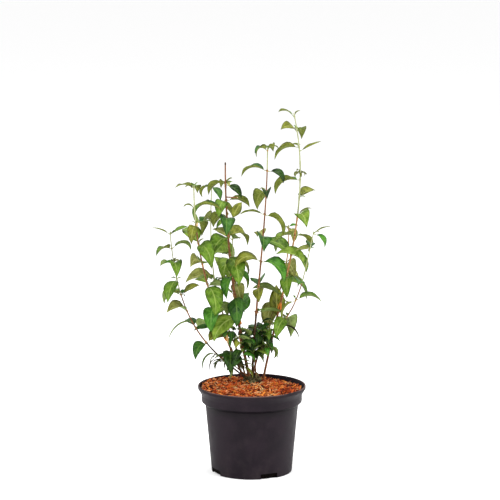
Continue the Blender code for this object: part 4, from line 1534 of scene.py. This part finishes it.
# %% Root crown
BARK_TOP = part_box("bark_mulch")[1].z
CROWN_CENTRE = Vector((0.001, 0.033, BARK_TOP + CLEAR))
CROWN_RADIUS = 0.0135
CROWN_HEIGHT = 0.0080
CROWN_DEPTH = 0.004
CROWN_KNOBS = 26
KNOB_WANDER = 0.3
KNOB_REACH = (0.2, 1.15)
KNOB_LOWEST = -0.001
KNOB_HIGHEST = 0.0105
KNOB_FALL = 0.35
KNOB_SIZE = (0.0018, 0.0046)
KNOB_WIDTH = (0.6, 1.2)
KNOB_STRETCH = (0.7, 1.5)
CROWN_LUMPS = (
    # x, y, z, radius, stretch
    (0.0074, 0.0420, 0.1620, 0.0050, 1.25),
    (-0.0020, 0.0180, 0.1525, 0.0035, 0.80),
    (0.0045, 0.0175, 0.1520, 0.0030, 0.80),
    (-0.0095, 0.0210, 0.1530, 0.0036, 0.90),
)
CROWN_SEED = 5
CROWN_VOXEL = 0.0008
CROWN_ROUGHNESS = 0.0016
CROWN_CLOUDS = 0.004
CROWN_SWELL = 0.55
STUB_ENDS = (1.3, 1.08)
STUB_INWARD = 0.6
STUB_RISE = 0.004
STUB_BELOW = 0.006
STUB_ABOVE = 0.001
FOOT_SHARE = 0.01


def ball(radius, place, scale, subdivisions=3):
    """A ball of small faces, squashed or stretched."""
    bpy.ops.mesh.primitive_ico_sphere_add(subdivisions=subdivisions, radius=radius, location=place,
                                          scale=scale)
    return bpy.context.object


def roughen(piece, name, scale, strength, middle=0.5, direction="NORMAL"):
    """Move a piece's surface by a cloud texture."""
    clouds = bpy.data.textures.new(name, "CLOUDS")
    clouds.noise_scale = scale
    clouds.noise_depth = 4
    rough = piece.modifiers.new(name, "DISPLACE")
    rough.texture = clouds
    rough.texture_coords = "LOCAL"
    rough.direction = direction
    rough.strength = strength
    rough.mid_level = middle
    apply_all(piece)


def model_crown():
    """The crown's ball, knobs and stubs as one rough skin."""
    rng = random.Random(CROWN_SEED)
    start_clean()
    made = [ball(1, CROWN_CENTRE, (CROWN_RADIUS, CROWN_RADIUS, CROWN_HEIGHT), 4)]
    for knob in range(CROWN_KNOBS):
        bearing = 2 * math.pi * (knob + rng.uniform(-KNOB_WANDER, KNOB_WANDER)) / CROWN_KNOBS
        reach = CROWN_RADIUS * rng.uniform(*KNOB_REACH)
        height = rng.uniform(KNOB_LOWEST, KNOB_HIGHEST - KNOB_FALL * reach)
        place = CROWN_CENTRE + Vector((reach * math.cos(bearing), reach * math.sin(bearing), height))
        size = rng.uniform(*KNOB_SIZE)
        made.append(ball(size, place, (1, rng.uniform(*KNOB_WIDTH), rng.uniform(*KNOB_STRETCH))))
    for x, y, z, size, stretch in CROWN_LUMPS:
        made.append(ball(size, (x, y, z), (1, 1, stretch)))
    feet = [(cane.handles[0], paths[cane.name].way(FOOT_SHARE), cane.radii[0]) for cane in CANES
            if cane not in (BRANCH, BRANCH_PARENT)]
    feet += [(Vector(foot), (Vector(tip) - Vector(foot)).normalized(), radii[0])
             for foot, tip, radii, *_ in THICKETS.values()]
    for foot, way, radius in feet:
        inside = CROWN_CENTRE.lerp(Vector((foot.x, foot.y, CROWN_CENTRE.z)), STUB_INWARD)
        handles = [inside, inside + Vector((0, 0, STUB_RISE)), foot - way * STUB_BELOW,
                   foot + way * STUB_ABOVE]
        made.append(thin_stem("stub", handles, radius, STUB_ENDS, cuts=5))
    crown = joined(made)
    settle(crown)
    melt = crown.modifiers.new("melt", "REMESH")
    melt.mode = "VOXEL"
    melt.voxel_size = CROWN_VOXEL
    roughen(crown, "crown_clouds", CROWN_CLOUDS, CROWN_ROUGHNESS, CROWN_SWELL)
    edit_all()
    bpy.ops.mesh.bisect(plane_co=(0, 0, BARK_TOP - CROWN_DEPTH), plane_no=(0, 0, 1), clear_inner=True,
                        use_fill=True)
    close_edit()
    give(crown, WOOD["crown_wood"])
    bpy.ops.object.shade_smooth()
    return crown


dress(model_crown(), "crown_wood", "cane_wood", "root_crown")

# %% [markdown]
# ## The bark mulch
# The pot is topped with shredded bark. Its bed is a disc, finely divided and heaped by a cloud texture: high
# in the middle and at the front, and lower at the back right, where the pot's inner wall shows. On the bed
# lie over two thousand shreds. Six are modelled by hand, each a block that is split, narrowed and bent a
# different way, and all the others are turned and resized copies, dealt out in five tones of bark and one of
# straw.

# %% Bed of bark
BED_REACH = 0.0905
BED_EDGE = 0.1488
BED_MIDDLE = 0.1498
BED_FOOT_SHARE = 0.95
BED_LOW_SIDE = Vector((0.65, 0.76))
BED_SLOPE = 0.0062
BED_FALL_POWER = 3
BED_SIDES = 72
BED_RINGS = 20
BED_LUMPS = 0.0040
BED_CLOUDS = 0.009
BED_GAP = 0.0006
BED_EDGE_ANGLE = 60


def wall_radius(height):
    """How far the bark reaches towards the flaring wall at a height between the collar and the lip."""
    collar = COLLAR[0] - POT_WALL
    share = min(max((height - COLLAR[2]) / (LIP_FOOT - COLLAR[2]), 0), 1)
    return collar + (MOUTH_RADIUS - collar) * share - CLEAR


def edge_height(x, y):
    """The level of the bark at the wall, on the side that a place lies: lower at the back right."""
    distance = max(math.hypot(x, y), 0.001)
    return BED_EDGE - BED_SLOPE * max((x * BED_LOW_SIDE.x + y * BED_LOW_SIDE.y) / distance, 0)


def bed_height(x, y):
    """The mean level of the bark at a place: nearly level in the middle, and falling to the wall."""
    share = min(math.hypot(x, y) / BED_REACH, 1.0)
    edge = edge_height(x, y)
    return edge + (BED_MIDDLE - edge) * (1 - share ** BED_FALL_POWER)


def model_bed():
    """The heaped disc that the shreds lie on, closed below."""
    start_clean()
    bpy.ops.mesh.primitive_circle_add(vertices=BED_SIDES, radius=BED_REACH, fill_type="NGON",
                                      location=(0, 0, BED_EDGE))
    bed = bpy.context.object
    settle(bed)
    edit_all()
    for _ in range(BED_RINGS):
        bpy.ops.mesh.inset(thickness=BED_REACH / (BED_RINGS + 1), depth=0)
    bpy.ops.mesh.poke()
    bpy.ops.object.mode_set(mode="OBJECT")
    for corner in bed.data.vertices:
        x, y = corner.co.x, corner.co.y
        squeeze = (wall_radius(edge_height(x, y)) - BED_GAP) / BED_REACH
        corner.co = (x * squeeze, y * squeeze, bed_height(x, y))
    roughen(bed, "bed_clouds", BED_CLOUDS, BED_LUMPS, direction="Z")
    edit_all()
    bpy.ops.mesh.region_to_loop()
    bpy.ops.mesh.extrude_region_move(TRANSFORM_OT_translate={"value": (0, 0, 0)})
    bpy.ops.transform.resize(value=(BED_FOOT_SHARE, BED_FOOT_SHARE, 0),
                             center_override=(0, 0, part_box("bark_mulch")[0].z))
    bpy.ops.mesh.edge_face_add()
    close_edit()
    give(bed, WOOD["bark_bed"])
    work_on(bed)
    bpy.ops.object.shade_smooth_by_angle(angle=math.radians(BED_EDGE_ANGLE))
    return bed


dress(model_bed(), "bark_bed", "bark_mulch", "bark_mulch")

# %% Six shreds by hand
SHRED_KINDS = 6
SHRED_SEED = 19
SHRED_CUTS = 3
CUT_WANDER = 0.06
CUT_SLANT = 0.25
SAME_CUT = 0.08
# ranges of width and depth at a shred's ends, and between them
SHRED_ENDS = ((0.25, 0.7), (0.25, 0.6))
SHRED_BETWEEN = ((0.75, 1.15), (0.7, 1.1))
SHRED_END = 0.4
SHRED_ARCH = (0.22, 0.5)
SHRED_BEND = (0.1, 0.6)
SHRED_SHIFT = 0.05
SHRED_WARP = 0.35


def model_shred(kind, rng):
    """One shred of bark, 1 long, 1 wide and 1 thick before it is sized: split, narrowed and bent."""
    start_clean()
    bpy.ops.mesh.primitive_cube_add(size=1, location=(0, 0, 0))
    shred = bpy.context.object
    bpy.ops.object.mode_set(mode="EDIT")
    for cut in range(SHRED_CUTS):
        place = -0.5 + (cut + 1) / (SHRED_CUTS + 1) + rng.uniform(-CUT_WANDER, CUT_WANDER)
        bpy.ops.mesh.select_all(action="SELECT")
        slant = rng.uniform(-CUT_SLANT, CUT_SLANT)
        bpy.ops.mesh.bisect(plane_co=(place, 0, 0), plane_no=(1, slant, 0))
    bpy.ops.object.mode_set(mode="OBJECT")
    rows = sorted({round(corner.co.x, 1) for corner in shred.data.vertices})
    bpy.ops.object.mode_set(mode="EDIT")
    for row in rows:
        pick_corners(shred, lambda place: abs(place.x - row) < SAME_CUT)
        spans = SHRED_ENDS if abs(row) > SHRED_END else SHRED_BETWEEN
        width, depth = [rng.uniform(*span) for span in spans]
        bpy.ops.transform.resize(value=(1, width, depth), center_override=(row, 0, 0))
        rise, fall = SHRED_ARCH
        bend = (rise - fall * row * row) * (1 if kind % 2 else -1) * rng.uniform(*SHRED_BEND)
        shift, warp = rng.uniform(-SHRED_SHIFT, SHRED_SHIFT), rng.uniform(-SHRED_WARP, SHRED_WARP)
        bpy.ops.transform.translate(value=(shift, bend, warp))
    close_edit()
    return taken_part(shred)


shred_rng = random.Random(SHRED_SEED)
SHRED_PARTS = [model_shred(kind, shred_rng) for kind in range(SHRED_KINDS)]
print("shreds by hand:", [len(part[1]) for part in SHRED_PARTS], "faces")

# %% Scattering the shreds
SHREDS = 2300
SHRED_LENGTH = (0.005, 0.018)
SHRED_WIDTH = (0.0009, 0.0034)
SHRED_THICKNESS = (0.0006, 0.0015)
SHRED_SIZES = (0.6, 1.1)
WIDEST_SHRED = 0.5
SHRED_TILT = 26
TILT_SPREAD = 0.6
TILT_LIFT = 0.3
SHRED_LIFT = 0.0028
STRAW_SHARE = 0.03
STRAW_SIZE = (1.5, 0.25, 0.6)
TONE_WEIGHTS = (30, 22, 18, 18, 12)
# the tones dealt on the right side, with more brown and dark: painted shade
PAINTED_SHADE_WEIGHTS = (30, 11, 5, 34, 20)
PAINTED_SHADE_FROM = 0.045
STRAWS = (
    # x, y, z, lie, tilt, length, width
    (0.0183, -0.034, 0.1545, -78, 14, 0.021, 0.0011),
    (0.0168, -0.038, 0.1540, -68, 12, 0.018, 0.0009),
    (0.0200, -0.040, 0.1535, -95, 10, 0.016, 0.0009),
    (0.0130, -0.052, 0.1520, 20, 6, 0.016, 0.0022),
)
RIM_CLEARANCE = 0.0004
CROWN_CLEARANCE = 0.013
STRAW_THICKNESS = 0.0008


def shred_matrix(length, width, thickness, bearing, tilt, roll):
    """The 3 by 3 matrix that sizes a shred and turns it by its bearing, tilt and roll."""
    turn = Quaternion((0, 0, 1), bearing) @ Quaternion((0, 1, 0), tilt) @ Quaternion((1, 0, 0), roll)
    return np.array(turn.to_matrix()) @ np.diag((length, width, thickness))


def scattered_shreds(count, rng):
    """Shreds laid over the bed, their ends kept inside the pot's wall."""
    made = []
    while len(made) < count:
        bearing = rng.uniform(0, 2 * math.pi)
        reach = BED_REACH * math.sqrt(rng.random())
        x, y = reach * math.cos(bearing), reach * math.sin(bearing)
        straw = rng.random() < STRAW_SHARE
        longer, wider, thicker = STRAW_SIZE if straw else (1.0, 1.0, 1.0)
        length = rng.uniform(*SHRED_LENGTH) * rng.uniform(*SHRED_SIZES) * longer
        width = min(rng.uniform(*SHRED_WIDTH), length * WIDEST_SHRED) * wider
        thickness = rng.uniform(*SHRED_THICKNESS) * thicker
        lie = rng.uniform(0, 2 * math.pi)
        tilt = math.radians(rng.gauss(0, SHRED_TILT * TILT_SPREAD))
        roll = math.radians(rng.uniform(-SHRED_TILT, SHRED_TILT))
        lift = rng.uniform(0.0, SHRED_LIFT) + abs(math.sin(tilt)) * length * TILT_LIFT
        # on the right side the darker weights paint shade
        weights = TONE_WEIGHTS if x < PAINTED_SHADE_FROM else PAINTED_SHADE_WEIGHTS
        tone = STRAW_TONE if straw else rng.choices(range(STRAW_TONE), weights)[0]
        ends = [math.hypot(x + side * length / 2 * math.cos(lie), y + side * length / 2 * math.sin(lie))
                for side in (-1, 1)]
        if max(ends) > wall_radius(edge_height(x, y)) - RIM_CLEARANCE:
            continue
        if math.hypot(x - CROWN_CENTRE.x, y - CROWN_CENTRE.y) < CROWN_CLEARANCE:
            continue
        place = (x, y, bed_height(x, y) + lift)
        part = SHRED_PARTS[rng.randrange(SHRED_KINDS)]
        made.append(placed_part(part, shred_matrix(length, width, thickness, lie, tilt, roll), place, tone))
    return made


bark_parts = scattered_shreds(SHREDS, random.Random(SHRED_SEED + 1))
for x, y, z, lie, tilt, length, width in STRAWS:
    turned = shred_matrix(length, width, STRAW_THICKNESS, math.radians(lie), math.radians(tilt), 0)
    bark_parts.append(placed_part(SHRED_PARTS[0], turned, (x, y, z), STRAW_TONE))
shreds = joined_mesh("bark_shreds", bark_parts, SHRED_FINISHES)
work_on(shreds)
bpy.ops.object.shade_flat()
dress(shreds, "bark_shreds", "bark_mulch")

# %% [markdown]
# ## What has been pruned and what has died
# The thickest cane ends in a dark dried tip. Below it a short bare stub is left of a side shoot, and more cut
# stubs stand near the feet of the canes. A few dead twigs without leaves lie among the low growth.

# %% Cut ends, stubs and dead twigs
CUT_OVERHANG = 1.02
CUT_THICKNESS = 0.0006
CUT_BEVEL = 0.00015
DRIED_TIP = 1.25
DRIED_TIP_STRETCH = 1.9
DRIED_TIP_SHARE = 0.995
DEAD_TWIG_SAG = -0.002
CUT_STUB_ENDS = (1.1, 0.9)
DEAD_TWIG_ENDS = (1.0, 0.6)
STUBS = (
    # start, end, radius, finish
    ((-0.0435, -0.002, 0.4891), (-0.0250, -0.008, 0.4892), 0.0011, "cane_red_brown"),
    ((-0.0180, 0.028, 0.2117), (-0.0225, 0.014, 0.2397), 0.0012, "cane_orange"),
    ((-0.0560, 0.012, 0.2477), (-0.0500, 0.004, 0.2597), 0.0010, "cane_orange"),
)
DEAD_TWIGS = (
    # start, end, radius
    ((0.0240, 0.044, 0.2297), (0.0130, 0.020, 0.2497), 0.0007),
    ((0.0215, 0.034, 0.2348), (0.0385, 0.044, 0.2786), 0.0007),
    ((0.0109, 0.030, 0.2500), (0.0375, 0.045, 0.2554), 0.0006),
    ((-0.0035, 0.036, 0.1819), (0.0057, 0.030, 0.1723), 0.0006),
    ((0.0060, 0.020, 0.1577), (0.0140, 0.004, 0.1687), 0.0006),
    ((-0.0100, 0.016, 0.1597), (-0.0260, -0.004, 0.158), 0.0007),
)


def cut_face(place, way, radius):
    """A thin pale disc of cut wood that closes the end of a cane."""
    start_clean()
    bpy.ops.mesh.primitive_cylinder_add(vertices=12, radius=radius * CUT_OVERHANG, depth=CUT_THICKNESS,
                                        location=place, rotation=way.to_track_quat("Z", "Y").to_euler())
    disc = bpy.context.object
    settle(disc)
    edit_all()
    bpy.ops.mesh.bevel(offset=CUT_BEVEL, segments=1, affect="EDGES")
    bpy.ops.object.mode_set(mode="OBJECT")
    return disc


bare_cane = next(cane for cane in CANES if cane.name == "centre")
start_clean()
bpy.ops.mesh.primitive_uv_sphere_add(segments=10, ring_count=8, radius=bare_cane.radii[1] * DRIED_TIP,
                                     location=paths["centre"].at(DRIED_TIP_SHARE),
                                     scale=(1, 1, DRIED_TIP_STRETCH))
made = [(bpy.context.object, "cane_dark_brown")]
for start, end, radius, finish in STUBS:
    start, end = Vector(start), Vector(end)
    stub = thin_stem("stub", straight_handles(start, end), radius, CUT_STUB_ENDS, cuts=5)
    made.append((stub, finish))
    made.append((cut_face(end, (end - start).normalized(), radius), "cut_wood"))
for start, end, radius in DEAD_TWIGS:
    handles = straight_handles(Vector(start), Vector(end), DEAD_TWIG_SAG)
    twig = thin_stem("dead_twig", handles, radius, DEAD_TWIG_ENDS, cuts=6)
    made.append((twig, "cane_dark_brown"))
for piece, finish in made:
    give(piece, WOOD[finish])
pruned = joined([piece for piece, _ in made])
settle(pruned)
dress(pruned, "stubs_and_dead_twigs", "cane_wood")

# %% [markdown]
# ## Bark that peels
# In a few places, most of them low on the canes, the old bark lifts off in short strips of golden orange and
# straw. The strips are copies of the shreds from the bed.

# %% Peeling bark
PEELS = (
    # cane, share, strips, length, width
    ("left", 0.205, 5, 0.018, 0.0042),
    ("left", 0.800, 3, 0.012, 0.0028),
    ("centre", 0.275, 4, 0.022, 0.0038),
    ("tall_right", 0.125, 4, 0.018, 0.0034),
    ("tall_right", 0.281, 5, 0.016, 0.0034),
)
PEEL_TONES = (1, 5, 1)
PEEL_LIFT = 22
PEEL_THICKNESS = 0.0009
PEEL_WANDER = 0.01
PEEL_HEIGHT = 1.1
PEEL_SIZES = (0.7, 1.1)
PEEL_SPACING = 0.2
PEEL_SEED = 8


def peeling_strips(name, share, count, length, width, rng):
    """Short strips of bark that lift off a cane, all round it."""
    along = paths[name].way(share).to_track_quat("X", "Z")
    off = Vector((0, 0, RADIUS_OF[name] * PEEL_HEIGHT))
    made = []
    for strip in range(count):
        bearing = 2 * math.pi * (strip + rng.uniform(-PEEL_SPACING, PEEL_SPACING)) / count
        lift = math.radians(rng.uniform(-PEEL_LIFT, PEEL_LIFT))
        turn = along @ Quaternion((1, 0, 0), bearing) @ Quaternion((0, 1, 0), lift)
        size = rng.uniform(*PEEL_SIZES)
        matrix = np.array(turn.to_matrix()) @ np.diag((length * size, width * size, PEEL_THICKNESS))
        place = paths[name].at(share + rng.uniform(-PEEL_WANDER, PEEL_WANDER)) + turn @ off
        part = SHRED_PARTS[rng.randrange(SHRED_KINDS)]
        made.append(placed_part(part, matrix, place, rng.choice(PEEL_TONES)))
    return made


peel_rng = random.Random(PEEL_SEED)
RADIUS_OF = {cane.name: cane.radii[0] for cane in CANES}
strips = [part for row in PEELS for part in peeling_strips(*row, peel_rng)]
peels = joined_mesh("peeling_bark", strips, SHRED_FINISHES)
work_on(peels)
bpy.ops.object.shade_flat()
dress(peels, "peeling_bark", "cane_wood")
print(len(strips), "strips of peeling bark")
